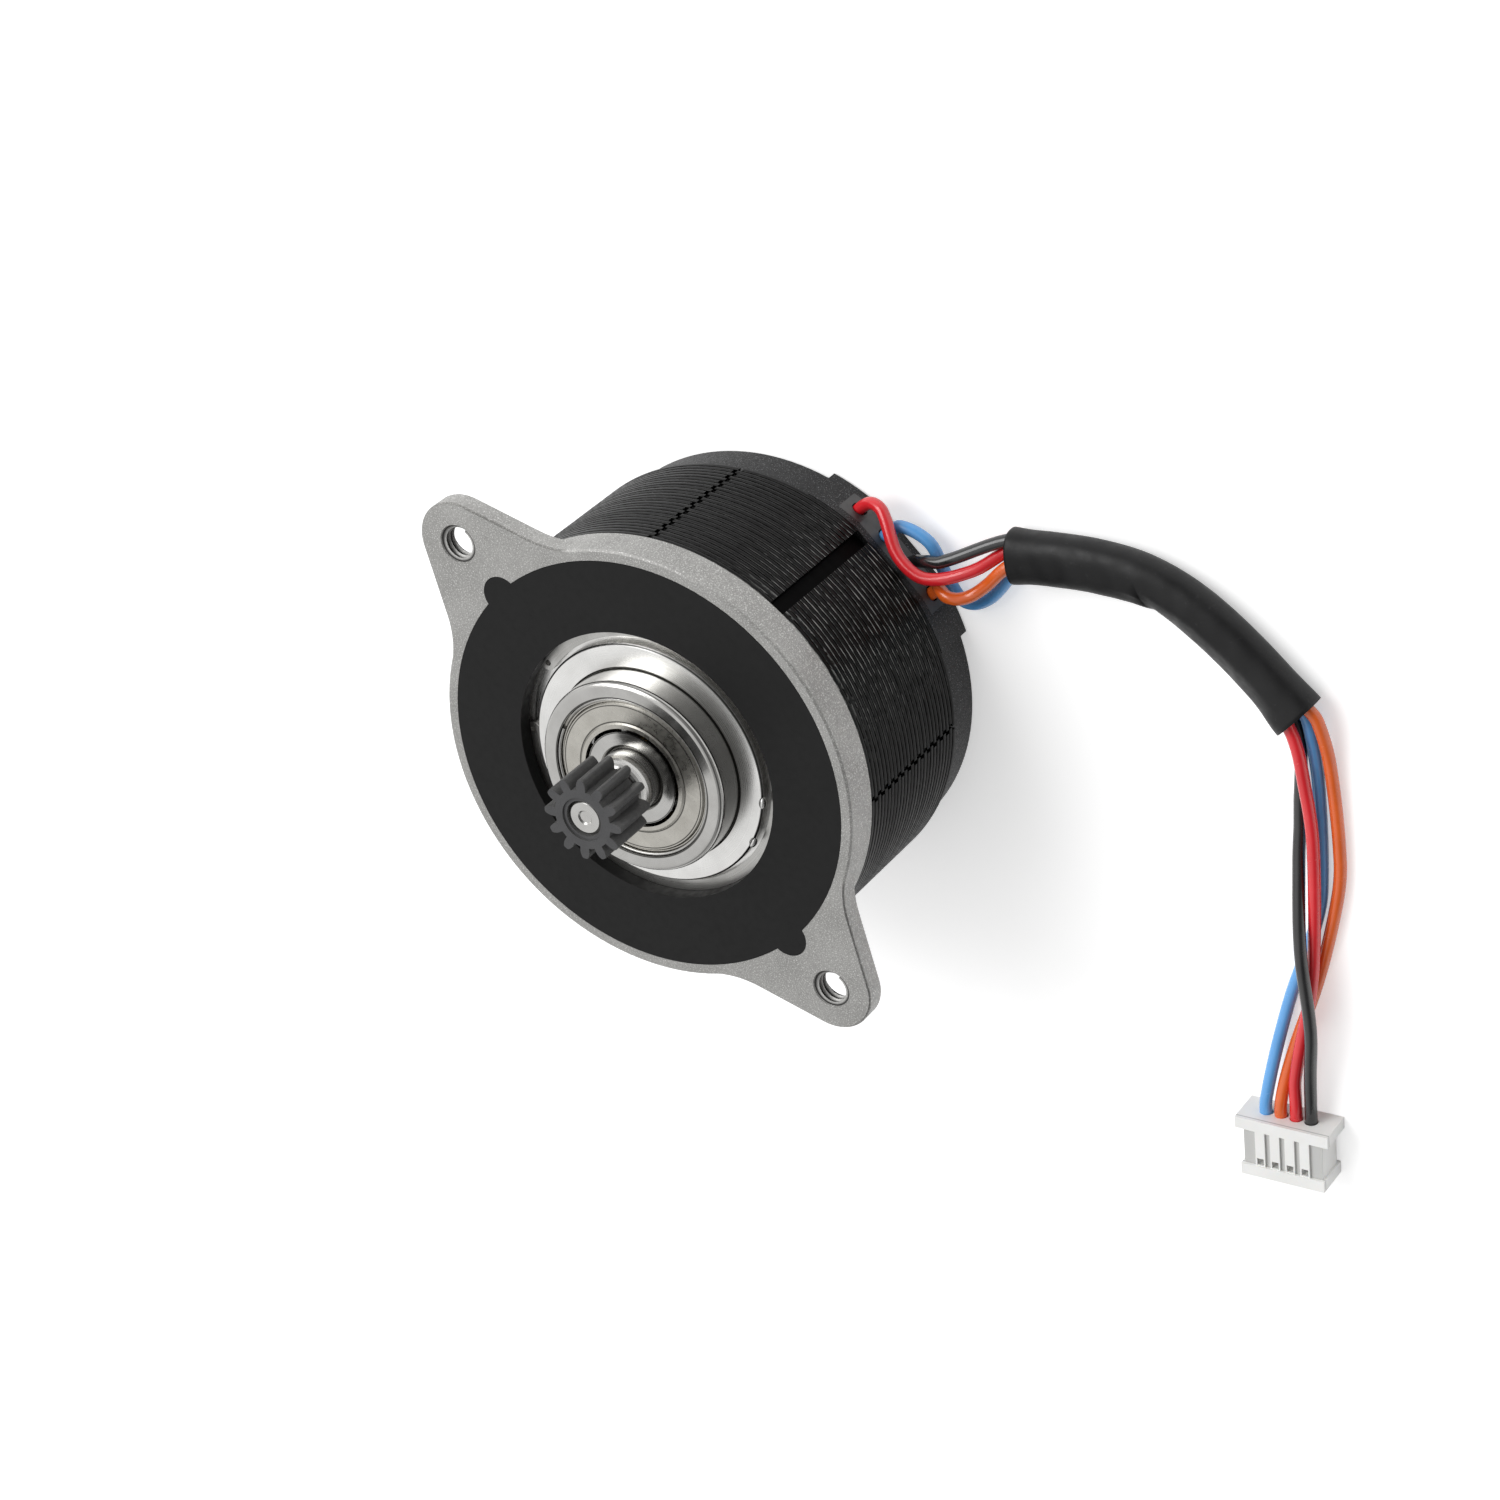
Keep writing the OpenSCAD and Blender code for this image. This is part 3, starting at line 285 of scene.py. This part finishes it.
def lacquered_stack():
    """Black lacquer over sheet edges: each sheet a little different, with painted highlights along
    the sheet edges and painted glints on one side.
    """
    s = Surface("stack_black")
    x, y, z = s.parts()
    rows = s.math("DIVIDE", s.math("ADD", z, SHEETS_START), SHEET)
    tint = add(s.tree, "ShaderNodeTexWhiteNoise", {"W": s.math("FLOOR", rows)},
               noise_dimensions="1D").outputs["Value"]
    level = s.math("FRACT", rows)
    beside = s.math("LESS_THAN", s.math("ABSOLUTE", s.along(GROOVE_SIDE)), GROOVE_HALF)
    groove = s.math("MULTIPLY", beside, s.math("GREATER_THAN", s.along(GROOVE_WAY), 0.0))
    sheets = s.math("SUBTRACT", 1.0, groove)
    # Painted glints: the side of the stack, by its turn about the axis, where the sheet edges catch
    # the light
    turn = s.math("ARCTAN2", y, x)
    from_glint_turn = s.math("ABSOLUTE", s.math("SUBTRACT", turn, GLINT_TURN))
    glint_side = s.between(from_glint_turn, 0.15, 0.55, 1.0, 0.04)
    along = s.noise(900, 3, 0.6, s.stretched((1, 1, 6)))
    shade = s.math("MULTIPLY", tint, along)
    colour = s.mix(shade, (0.0015, 0.0015, 0.0016), (0.006, 0.006, 0.0062))
    # Painted highlights: thin pale lines along the sheet edges
    lit_edge = s.math("MULTIPLY", s.between(level, 0.76, 0.86), sheets)
    dashes = s.noise(2200, 3, 0.6, s.stretched((0.25, 0.25, 2)))
    thin_highlight = s.math("MULTIPLY", lit_edge, s.between(dashes, 0.42, 0.56, 0.45, 1))
    thin_highlight = s.math("MULTIPLY", thin_highlight, s.between(tint, 0, 1, 0.45, 0.95))
    colour = s.mix(thin_highlight, colour, (0.075, 0.0745, 0.0725))
    # Painted glints: pale specks on the sheet edges, only on the side that faces the light
    glints = s.noise(5200, 2, 0.7, s.stretched((0.2, 0.2, 2)))
    painted_glint = s.math("MULTIPLY", lit_edge, s.between(glints, 0.49, 0.58))
    colour = s.mix(s.math("MULTIPLY", painted_glint, glint_side), colour, (0.40, 0.398, 0.39))
    chips = s.noise(4600, 2, 0.6, s.stretched((1, 1, 3)))
    worn = s.between(chips, 0.66, 0.74, 0, 0.4)
    colour = s.mix(s.math("MULTIPLY", worn, sheets), colour, (0.06, 0.059, 0.057))
    s.set(Base_Color=s.mix(groove, colour, (0.0012, 0.0012, 0.0013)),
          Specular_IOR_Level=s.between(groove, 0, 1, 0.07, 0.02),
          Roughness=s.between(s.math("ADD", along, tint), 0.3, 1.6, 0.30, 0.48))
    crown = s.math("POWER", s.math("ABSOLUTE", s.between(level, 0.2, 1.0, -1, 1)), 4.0)
    s.bump(s.math("MULTIPLY", s.math("SUBTRACT", 1.0, crown), sheets), 0.09, 1.0)
    s.bump(s.noise(5200, 3, 0.6), 0.01, 0.25)
    return s


def cover_paint():
    """Black grainy paint with pale specks painted as glints."""
    s = Surface("cover_black", Specular_IOR_Level=0.24)
    grain = s.noise(5200, 2, 0.6)
    colour = s.mix(s.noise(500, 3), (0.0085, 0.0085, 0.009), (0.015, 0.015, 0.0155))
    # Painted glints: pale specks on the black paint
    painted_glint = s.between(s.noise(11000, 1), 0.62, 0.72, 0, 0.9)
    colour = s.mix(painted_glint, colour, (0.20, 0.20, 0.205))
    s.set(Base_Color=colour, Roughness=s.between(grain, 0.3, 0.7, 0.36, 0.58))
    s.bump(grain, 0.03, 0.6)
    return s


def pvc(name, colour, dark, gloss=0.12):
    """Insulation: a little uneven in colour, with darker marks and a soft bump."""
    s = Surface(name, Specular_IOR_Level=0.8)
    cloud = s.noise(380, 3)
    tone = s.mix(s.between(cloud, 0.3, 0.7), colour, dark)
    marks = s.between(s.noise(2600, 3, 0.7), 0.62, 0.8, 0, 0.25)
    tone = s.mix(marks, tone, tuple(0.5 * v for v in dark))
    s.set(Base_Color=tone, Roughness=s.between(s.noise(1500, 3), 0.3, 0.7, gloss, gloss + 0.16))
    s.bump(s.noise(1800, 3, 0.5), 0.012, 0.35)
    return s


def shrunk():
    """Shrunk sleeve: soft black with scuffs, dark where the near half tucks under the fold."""
    s = Surface("sleeve_black")
    cloud = s.noise(330, 4)
    colour = s.mix(s.between(cloud, 0.3, 0.7), (0.008, 0.008, 0.0084), (0.014, 0.014, 0.0144))
    scuff = s.between(s.noise(1700, 3, 0.7), 0.62, 0.74, 0, 0.35)
    colour = s.mix(scuff, colour, (0.045, 0.045, 0.046))
    before = s.math("SUBTRACT", FOLD_AT, s.along(FOLD_WAY))
    rise = s.between(before, -0.05 * MM, 0.05 * MM)
    fade = s.between(before, 0.1 * MM, 1.1 * MM, 1, 0)
    shade = s.math("MULTIPLY", rise, fade)
    shade = s.math("MULTIPLY", shade, s.between(s.parts()[0], FOLD_START, FOLD_FULL))
    s.set(Base_Color=s.mix(shade, colour, (0.0025, 0.0025, 0.0026)),
          Specular_IOR_Level=s.between(shade, 0, 1, 0.26, 0.05),
          Roughness=s.between(s.noise(1200, 3), 0.3, 0.7, 0.38, 0.52))
    s.bump(s.noise(2200, 3, 0.55), 0.02, 0.45)
    return s


def nylon(name, colour, dark, gaps=None):
    """Moulded nylon; gaps gives the height of the shaded floor between its ribs."""
    s = Surface(name, Subsurface_Weight=0.12, Subsurface_Radius=(0.0006, 0.0005, 0.0004))
    tone = s.mix(s.between(s.noise(420, 3), 0.3, 0.7), colour, dark)
    if gaps:
        off = s.math("ABSOLUTE", s.math("SUBTRACT", s.parts()[2], gaps * MM))
        shadow = tuple(0.62 * v for v in dark)
        tone = s.mix(s.between(off, 0.04 * MM, 0.08 * MM, 0.9, 0), tone, shadow)
    s.set(Base_Color=tone, Roughness=s.between(s.noise(1800, 2), 0.3, 0.7, 0.42, 0.56))
    s.bump(s.noise(3000, 3), 0.012, 0.3)
    return s


def plain_metal(name, colour, dark, low, high, metallic=1.0):
    """Metal in two cloudy tones; low and high are its roughness."""
    s = Surface(name, Metallic=metallic)
    tone = s.mix(s.between(s.noise(600, 3), 0.3, 0.7), colour, dark)
    s.set(Base_Color=tone, Roughness=s.between(s.noise(2600, 3), 0.3, 0.7, low, high))
    s.bump(s.noise(5200, 3), 0.01, 0.3)
    return s


def windings():
    """Enamelled copper, its turns as fine waves, painted darker between the turns as shade."""
    s = Surface("copper", Metallic=0.9, Coat_Weight=0.6, Coat_Roughness=0.15)
    wave = add(s.tree, "ShaderNodeTexWave",
               {"Vector": s.place, "Scale": 900, "Distortion": 1.2, "Detail": 1},
               bands_direction="X").outputs["Fac"]
    # Painted shade: the turns darker in the grooves between them, lighter on their crowns
    s.set(Base_Color=s.mix(wave, (0.24, 0.075, 0.03), (0.56, 0.22, 0.10)),
          Roughness=s.between(wave, 0, 1, 0.4, 0.24))
    s.bump(wave, 0.06, 0.6)
    return s


SURFACES = {
    "flange_casting": casting(),
    "disc_black": disc_paint(),
    "hub_steel": turned("hub_steel", (0.80, 0.795, 0.78), (0.68, 0.675, 0.66), 0.22, 0.36,
                        lines=0.2, aniso=0.2, joints=((8.07, 0.09), (9.98, 0.07))),
    "spring_steel": turned("spring_steel", (0.50, 0.495, 0.48), (0.36, 0.355, 0.34), 0.24, 0.38,
                           lines=0.15, aniso=0.1),
    "bearing_steel": turned("bearing_steel", (0.50, 0.495, 0.48), (0.40, 0.395, 0.38), 0.13, 0.24,
                            lines=0.2, aniso=0.2,
                            joints=((6.74, 0.08), (2.62, 0.10), (3.80, 0.05))),
    "shield_steel": pressed(),
    "ball_steel": plain_metal("ball_steel", (0.8, 0.8, 0.8), (0.7, 0.7, 0.7), 0.04, 0.1),
    "cage_brass": plain_metal("cage_brass", (0.62, 0.44, 0.18), (0.48, 0.33, 0.13), 0.25, 0.4),
    "shaft_steel": turned("shaft_steel", (0.56, 0.555, 0.54), (0.46, 0.455, 0.44), 0.16, 0.30,
                          lines=0.12, aniso=0.1),
    "pinion_sintered": sintered(),
    "rotor_steel": plain_metal("rotor_steel", (0.34, 0.34, 0.35), (0.24, 0.24, 0.25), 0.3, 0.5),
    "magnet": plain_metal("magnet", (0.11, 0.11, 0.115), (0.07, 0.07, 0.075), 0.4, 0.6, 0.6),
    "stack_black": lacquered_stack(),
    "nylon": nylon("nylon", (0.72, 0.70, 0.62), (0.64, 0.62, 0.54)),
    "copper": windings(),
    "cover_black": cover_paint(),
    "screw_steel": plain_metal("screw_steel", (0.16, 0.16, 0.165), (0.10, 0.10, 0.105), 0.3, 0.46),
    "block_black": pvc("block_black", (0.018, 0.018, 0.018), (0.028, 0.028, 0.028), 0.4),
    "wire_red": pvc("wire_red", (0.80, 0.020, 0.030), (0.70, 0.014, 0.022)),
    "wire_blue": pvc("wire_blue", (0.13, 0.43, 0.88), (0.11, 0.38, 0.80)),
    "wire_black": pvc("wire_black", (0.014, 0.014, 0.015), (0.022, 0.022, 0.023)),
    "wire_orange": pvc("wire_orange", (0.86, 0.145, 0.020), (0.76, 0.125, 0.016)),
    "sleeve_black": shrunk(),
    "housing_white": nylon("housing_white", (0.93, 0.93, 0.915), (0.88, 0.88, 0.86), gaps=-17.1),
    "terminal_tin": plain_metal("terminal_tin", (0.62, 0.58, 0.46), (0.48, 0.44, 0.34), 0.2, 0.36),
}


def dress(piece, slot):
    piece.data.materials.clear()
    piece.data.materials.append(SURFACES[slot].material)


for entry in frame["record"]["subparts"]:
    for place in NODES[entry["node"]].material_slots:
        place.material = SURFACES[entry["material_slot"]].material


# Small builders

def link(name, data):
    piece = bpy.data.objects.new(name, data)
    bpy.context.scene.collection.objects.link(piece)
    return piece


def from_rings(name, rings, slot, closed_tube=False, smooth=True):
    """A mesh on the stator through rings of points, each ring closed on itself."""
    rows = len(rings)
    count = len(rings[0])
    faces = []
    for i in range(rows if closed_tube else rows - 1):
        for k in range(count):
            j = (k + 1) % count
            n = (i + 1) % rows
            faces.append((i * count + k, i * count + j, n * count + j, n * count + k))
    if not closed_tube:
        faces.append(tuple(range(count - 1, -1, -1)))
        faces.append(tuple((rows - 1) * count + k for k in range(count)))
    mesh = bpy.data.meshes.new(name)
    mesh.from_pydata([tuple(p) for ring in rings for p in ring], [], faces)
    mesh.polygons.foreach_set("use_smooth", [smooth] * len(mesh.polygons))
    mesh.update()
    piece = link(name, mesh)
    dress(piece, slot)
    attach(piece, "stator")
    return piece


def smooth_path(points, steps):
    """Points on a Catmull-Rom curve through the route, in metres."""
    route = [Vector(p) * MM for p in points]
    route = [2 * route[0] - route[1]] + route + [2 * route[-1] - route[-2]]
    path = []
    for a, b, c, d in zip(route, route[1:], route[2:], route[3:]):
        span = (c - b).length
        before = (b - a).length
        after = (d - c).length
        start = (c - a) * span / (before + span)
        stop = (d - b) * span / (span + after)
        for k in range(steps):
            t = k / steps
            path.append((2 * t ** 3 - 3 * t ** 2 + 1) * b + (t ** 3 - 2 * t ** 2 + t) * start
                        + (3 * t ** 2 - 2 * t ** 3) * c + (t ** 3 - t ** 2) * stop)
    path.append(route[-2])
    return path


# Cords: routes and sizes are in mm

WIRE = 1.0 * MM
BLOCK_INSIDE = 16.1
PLUG = Vector((52.7, 11.0, -18.4))
PLUG_TURN = math.radians(-42)
PLUG_ALONG = Vector((math.cos(PLUG_TURN), math.sin(PLUG_TURN), 0))
PLUG_ACROSS = Vector((-PLUG_ALONG.y, PLUG_ALONG.x, 0))
PLUG_BEFORE = -1.2
PLUG_DEEP = 1.5

# Each wire: its way in the connector, counted across from the middle, and its route
ROUTES = {
    "wire_red": (0.625, [
        (-4.5, 17.9, -18), (-4.2, 18.9, -17.8), (-3.2, 19.5, -17.3), (0.1, 18.8, -16.2),
        (2.7, 19.6, -16), (4.5, 22.7, -17.1), (5.2, 25.9, -18.9), (6.7, 28, -19),
        (7.6, 28.5, -19.2), (10.5, 30.9, -19), (13.4, 32.9, -18.5), (16.8, 34.4, -18.1),
        (21.5, 35.3, -17.9), (27.7, 35.5, -17.8), (32.7, 32.5, -18.1), (36.4, 29.6, -18.3),
        (43.1, 23.2, -18.3), (45.8, 20.1, -18.3), (50.4, 13.9, -18.5),
    ]),
    "wire_blue": (-1.875, [
        (-1.7, 17.9, -18), (-1.5, 19.3, -18.1), (0.8, 20.2, -18.4), (3.4, 18.9, -19.1),
        (5.7, 18.5, -19.1), (6.6, 19.3, -19), (7, 21, -19), (6.6, 24.9, -18.8),
        (7.4, 25.7, -18.4), (8.1, 26.9, -17.7), (7.9, 28.2, -17.6), (9.9, 31.5, -17.7),
        (12.6, 34.1, -18.2), (16.4, 35.8, -18.6), (21.3, 36.6, -18.9), (27.7, 36.6, -18.8),
        (28.8, 36.1, -18.9), (32.9, 32.9, -19.4), (39.5, 26.9, -19.4), (41.7, 23.9, -19.4),
        (45.4, 17.4, -19.4),
    ]),
    "wire_black": (1.875, [
        (1.1, 17.9, -18), (1.7, 19.7, -17.2), (2.5, 21, -17), (4.5, 26.5, -18.3),
        (6.2, 28.5, -18), (9.7, 31.6, -18.7), (12.9, 33.7, -19.1), (16.7, 34.9, -19.1),
        (21.5, 35.5, -19), (27.7, 35.5, -19), (33.9, 29.9, -19.3), (36.5, 27.5, -18.9),
        (42, 23.4, -17.2), (47.6, 19.1, -17.3), (50.9, 15.4, -18.1),
    ]),
    "wire_orange": (-0.625, [
        (3.9, 17.9, -18), (3.8, 18.7, -17.7), (4.1, 19.2, -17), (4.8, 19.6, -16.6),
        (5.5, 20.2, -16.8), (5.9, 21.1, -17.2), (6, 22.6, -17.5), (5.9, 24.2, -17.7),
        (6, 25.4, -17.9), (6.5, 26.4, -18.3), (7.4, 27.2, -18.5), (8.5, 28.2, -18.5),
        (10.7, 30.7, -17.9), (13.1, 33.3, -17.6), (16.5, 35.3, -17.6), (21.3, 36.5, -17.7),
        (27.6, 37.6, -18.1), (28.8, 37.4, -18.3), (32.1, 35.1, -19.1), (38.5, 29.9, -19.4),
        (41, 27.1, -19.4), (45.1, 21.1, -19.4), (48.8, 14.6, -19.4),
    ]),
}

# The sleeve: its half sizes, its wall, and its bend as a share of its length
SLEEVE_ROUTE = [
    (5.6, 25.7), (7.7, 28.4), (10.2, 31.2), (13, 33.5), (16.6, 35.1), (21.4, 36), (27.7, 36.4),
]
SLEEVE_MIDDLE = -18.35
SLEEVE_WIDE = 2.2
SLEEVE_HIGH = 1.65
SLEEVE_WALL = 0.25
SLEEVE_BEND = 0.57


def rounded(value):
    """A sine or cosine, moved away from zero, so that a circle swells towards a rounded box."""
    return math.copysign(abs(value) ** 0.85, value)


def sleeve_drop(t, c, calm):
    """How far the sleeve's top lies lower in mm, at t along it and c across it.

    Past the fold its near half slopes down. Before the fold it tucks under, deepest at the fold.
    """
    fold = SLEEVE_BEND - 0.07 * (c + 1)
    past = 1 / (1 + math.exp(-(t - fold) / 0.006))
    slope = 0.90 * max(-0.05 - c, 0)
    tuck = 0.80 * math.exp(-max(fold - t, 0) / 0.08) * max(-c - 0.35, 0) ** 0.6
    dish = 0.05 * math.exp(-((c + 0.1) / 0.5) ** 2)
    return calm * (past * slope + (1 - past) * (tuck + dish))


def make_sleeve():
    """Shrunk sleeve: flat over the wires, pinched at its bend, folded there over its near half."""
    steps = 20
    count = 72
    path = smooth_path([(x, y, SLEEVE_MIDDLE) for x, y in SLEEVE_ROUTE], steps)
    last = len(path) - 1
    outside = []
    inside = []
    for i, centre in enumerate(path):
        ahead = (path[min(i + 1, last)] - path[max(i - 1, 0)]).normalized()
        across = Vector((-ahead.y, ahead.x, 0))
        t = i / last
        pinch = math.exp(-abs(t - SLEEVE_BEND) / 0.08)
        calm = 1 - min(1, math.exp(-(t / 0.05) ** 2) + math.exp(-((1 - t) / 0.05) ** 2))
        high = SLEEVE_HIGH - 0.10 * calm
        ring = []
        bore = []
        for k in range(count):
            a = 2 * math.pi * k / count
            c = rounded(math.cos(a))
            s = rounded(math.sin(a))
            wide = SLEEVE_WIDE - 0.45 * pinch * max(-c, 0) ** 2 - 0.12 * calm
            lift = -sleeve_drop(t, c, calm) if s > 0 else 0
            wave = (0.02 * math.sin(11 * t * math.pi + 3 * a)
                    + 0.015 * math.sin(23 * t * math.pi - 2 * a))
            up = Vector((0, 0, (high * s + lift * s + wave * max(s, 0)) * MM))
            up_inside = Vector((0, 0, ((high - SLEEVE_WALL) * s + lift * s) * MM))
            ring.append(centre + across * (wide * c * MM) + up)
            bore.append(centre + across * ((wide - SLEEVE_WALL) * c * MM) + up_inside)
        outside.append(ring)
        inside.append(bore)
    piece = from_rings("shrunk_sleeve", outside + inside[::-1], "sleeve_black", closed_tube=True)
    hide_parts("heat_shrink_sleeve")
    return piece


def make_wires(sleeve):
    """The four wires, from inside the lead block to inside the connector."""
    for name, (way, route) in ROUTES.items():
        first = route[0]
        middle = PLUG + PLUG_ACROSS * way
        plug_in = [tuple(middle + PLUG_ALONG * deep) for deep in (PLUG_BEFORE, PLUG_DEEP)]
        path = smooth_path([(first[0], BLOCK_INSIDE, first[2]), *route, *plug_in], steps=6)
        data = bpy.data.curves.new(name + "_lead", "CURVE")
        data.dimensions = "3D"
        line = data.splines.new("POLY")
        line.points.add(len(path) - 1)
        for point, place in zip(line.points, path):
            point.co = (*place, 1)
        line.use_smooth = True
        data.bevel_depth = WIRE / 2
        data.bevel_resolution = 6
        data.use_fill_caps = True
        piece = link(name + "_lead", data)
        dress(piece, name)
        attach(piece, "stator")
        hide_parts(name)


make_wires(make_sleeve())


# Details

def ear_thread(name, side):
    """The turns of an M3 thread inside an ear hole, as a ridge that winds through the bore."""
    pitch = 0.5
    outer = 1.5
    inner = 1.23
    root_half = 0.22
    crest_half = 0.03
    start = -1.6
    low = -1.58
    high = -0.14
    steps = 48
    turns = 3.3
    profile = ((outer, -root_half), (inner, -crest_half), (inner, crest_half), (outer, root_half))
    rings = []
    for i in range(int(turns * steps) + 1):
        a = 2 * math.pi * i / steps
        z = start + pitch * i / steps
        row = []
        for r, dz in profile:
            z_here = min(high, max(low, z + dz))
            row.append(Vector((side * EAR_REACH + r * math.cos(a), r * math.sin(a), z_here)) * MM)
        rings.append(row)
    return from_rings(name, rings, "flange_casting", smooth=False)


def hub_nub(name, degrees):
    """A small nub on the rim of the hub's face: a squeezed ball, in rows between its poles."""
    reach = 10.05
    height = -0.56
    half_sizes = (0.30 * MM, 0.50 * MM, 0.30 * MM, 1)
    rows = 12
    count = 20
    points = [(0, 0, 1)]
    for i in range(1, rows):
        flat = math.sin(math.pi * i / rows)
        up = math.cos(math.pi * i / rows)
        for k in range(count):
            a = 2 * math.pi * k / count
            points.append((flat * math.cos(a), flat * math.sin(a), up))
    points.append((0, 0, -1))
    last = len(points) - 1
    faces = []
    for k in range(count):
        j = (k + 1) % count
        faces.append((0, 1 + k, 1 + j))
        for row in range(1, last - count, count):
            faces.append((row + k, row + count + k, row + count + j, row + j))
        faces.append((last, last - count + j, last - count + k))
    turn = math.radians(degrees)
    centre = Vector((reach * math.cos(turn), reach * math.sin(turn), height)) * MM
    mesh = bpy.data.meshes.new(name)
    mesh.from_pydata(points, [], faces)
    mesh.transform(Matrix.Translation(centre) @ Matrix.Rotation(turn, 4, "Z")
                   @ Matrix.Diagonal(half_sizes))
    mesh.polygons.foreach_set("use_smooth", [True] * len(mesh.polygons))
    piece = link(name, mesh)
    dress(piece, "hub_steel")
    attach(piece, "stator")


ear_thread("thread_left", -1)
ear_thread("thread_right", 1)
hub_nub("hub_nub_upper", 40)
hub_nub("hub_nub_lower", 18)

# Rounded edges in mm
EDGES = {"pinion": 0.05, "connector_housing": 0.06, "front_disc": 0.03, "snap_ring": 0.06,
         "tie_screws": 0.08}

for node, width in EDGES.items():
    bevel = NODES[node].modifiers.new("edge", "BEVEL")
    bevel.width = width * MM
    bevel.segments = 2
    bevel.limit_method = "ANGLE"
    bevel.angle_limit = math.radians(35)
    bevel.use_clamp_overlap = True


# Floor and light

def make_floor():
    """A matt floor that glows to white for the camera and in what mirrors it."""
    reach = 3.0
    gap = 0.02 * MM
    corners = [(-reach, -reach, 0), (reach, -reach, 0), (reach, reach, 0), (-reach, reach, 0)]
    mesh = bpy.data.meshes.new("floor")
    mesh.from_pydata(corners, [], [(0, 1, 2, 3)])
    floor = link("floor", mesh)
    floor.location.z = FLOOR - gap
    material = bpy.data.materials.new("floor")
    material.use_nodes = True
    tree = material.node_tree
    tree.nodes.clear()
    matt = add(tree, "ShaderNodeBsdfDiffuse", {"Color": (0.86, 0.86, 0.86, 1)})
    glow = add(tree, "ShaderNodeEmission", {"Color": (1, 1, 1, 1), "Strength": 0.46})
    both = add(tree, "ShaderNodeAddShader")
    tree.links.new(matt.outputs[0], both.inputs[0])
    tree.links.new(glow.outputs[0], both.inputs[1])
    path = add(tree, "ShaderNodeLightPath").outputs
    mirrored = add(tree, "ShaderNodeMath",
                   {0: path["Is Glossy Ray"], 1: path["Is Transmission Ray"]},
                   operation="MAXIMUM").outputs[0]
    seen = add(tree, "ShaderNodeMath", {0: path["Is Camera Ray"], 1: mirrored},
               operation="MAXIMUM").outputs[0]
    pick = add(tree, "ShaderNodeMixShader", {"Fac": seen})
    tree.links.new(matt.outputs[0], pick.inputs[1])
    tree.links.new(both.outputs[0], pick.inputs[2])
    out = add(tree, "ShaderNodeOutputMaterial")
    tree.links.new(pick.outputs[0], out.inputs["Surface"])
    mesh.materials.append(material)


def make_world():
    """A studio with one bright side, a dim sky elsewhere and a pale band along the horizon."""
    world = bpy.data.worlds.new("studio")
    bpy.context.scene.world = world
    world.use_nodes = True
    tree = world.node_tree
    tree.nodes.clear()
    coord = add(tree, "ShaderNodeTexCoord").outputs["Generated"]
    bright_side = Vector((-0.5, -0.5, 0.71)).normalized()
    toward = add(tree, "ShaderNodeVectorMath", {0: coord, 1: bright_side},
                 operation="DOT_PRODUCT").outputs["Value"]
    sky = add(tree, "ShaderNodeMapRange",
              {"Value": toward, "From Min": 0.2, "From Max": 0.85, "To Min": 0.14, "To Max": 1.0},
              interpolation_type="SMOOTHSTEP").outputs["Result"]
    height = add(tree, "ShaderNodeSeparateXYZ", {"Vector": coord}).outputs["Z"]
    band = add(tree, "ShaderNodeMapRange",
               {"Value": height, "From Min": 0.1, "From Max": 0.62, "To Min": 0.9, "To Max": 0.0},
               interpolation_type="SMOOTHSTEP").outputs["Result"]
    level = add(tree, "ShaderNodeMath", {0: sky, 1: band}, operation="MAXIMUM").outputs[0]
    soft = add(tree, "ShaderNodeBackground", {"Color": level, "Strength": 1.0})
    out = add(tree, "ShaderNodeOutputWorld")
    tree.links.new(soft.outputs[0], out.inputs["Surface"])


def softbox(name, direction, distance, size, watts):
    """A rectangular lamp at a distance from the origin, facing it."""
    data = bpy.data.lights.new(name, "AREA")
    data.shape = "RECTANGLE"
    data.size, data.size_y = size
    data.energy = watts
    lamp = link(name, data)
    way = Vector(direction).normalized()
    lamp.location = way * distance
    lamp.rotation_mode = "QUATERNION"
    lamp.rotation_quaternion = way.to_track_quat("Z", "Y")


make_floor()
make_world()
softbox("key", direction=(-0.75, 0.0, 0.8), distance=0.6, size=(0.42, 0.42), watts=2.1)
bpy.context.scene.view_settings.view_transform = "Standard"
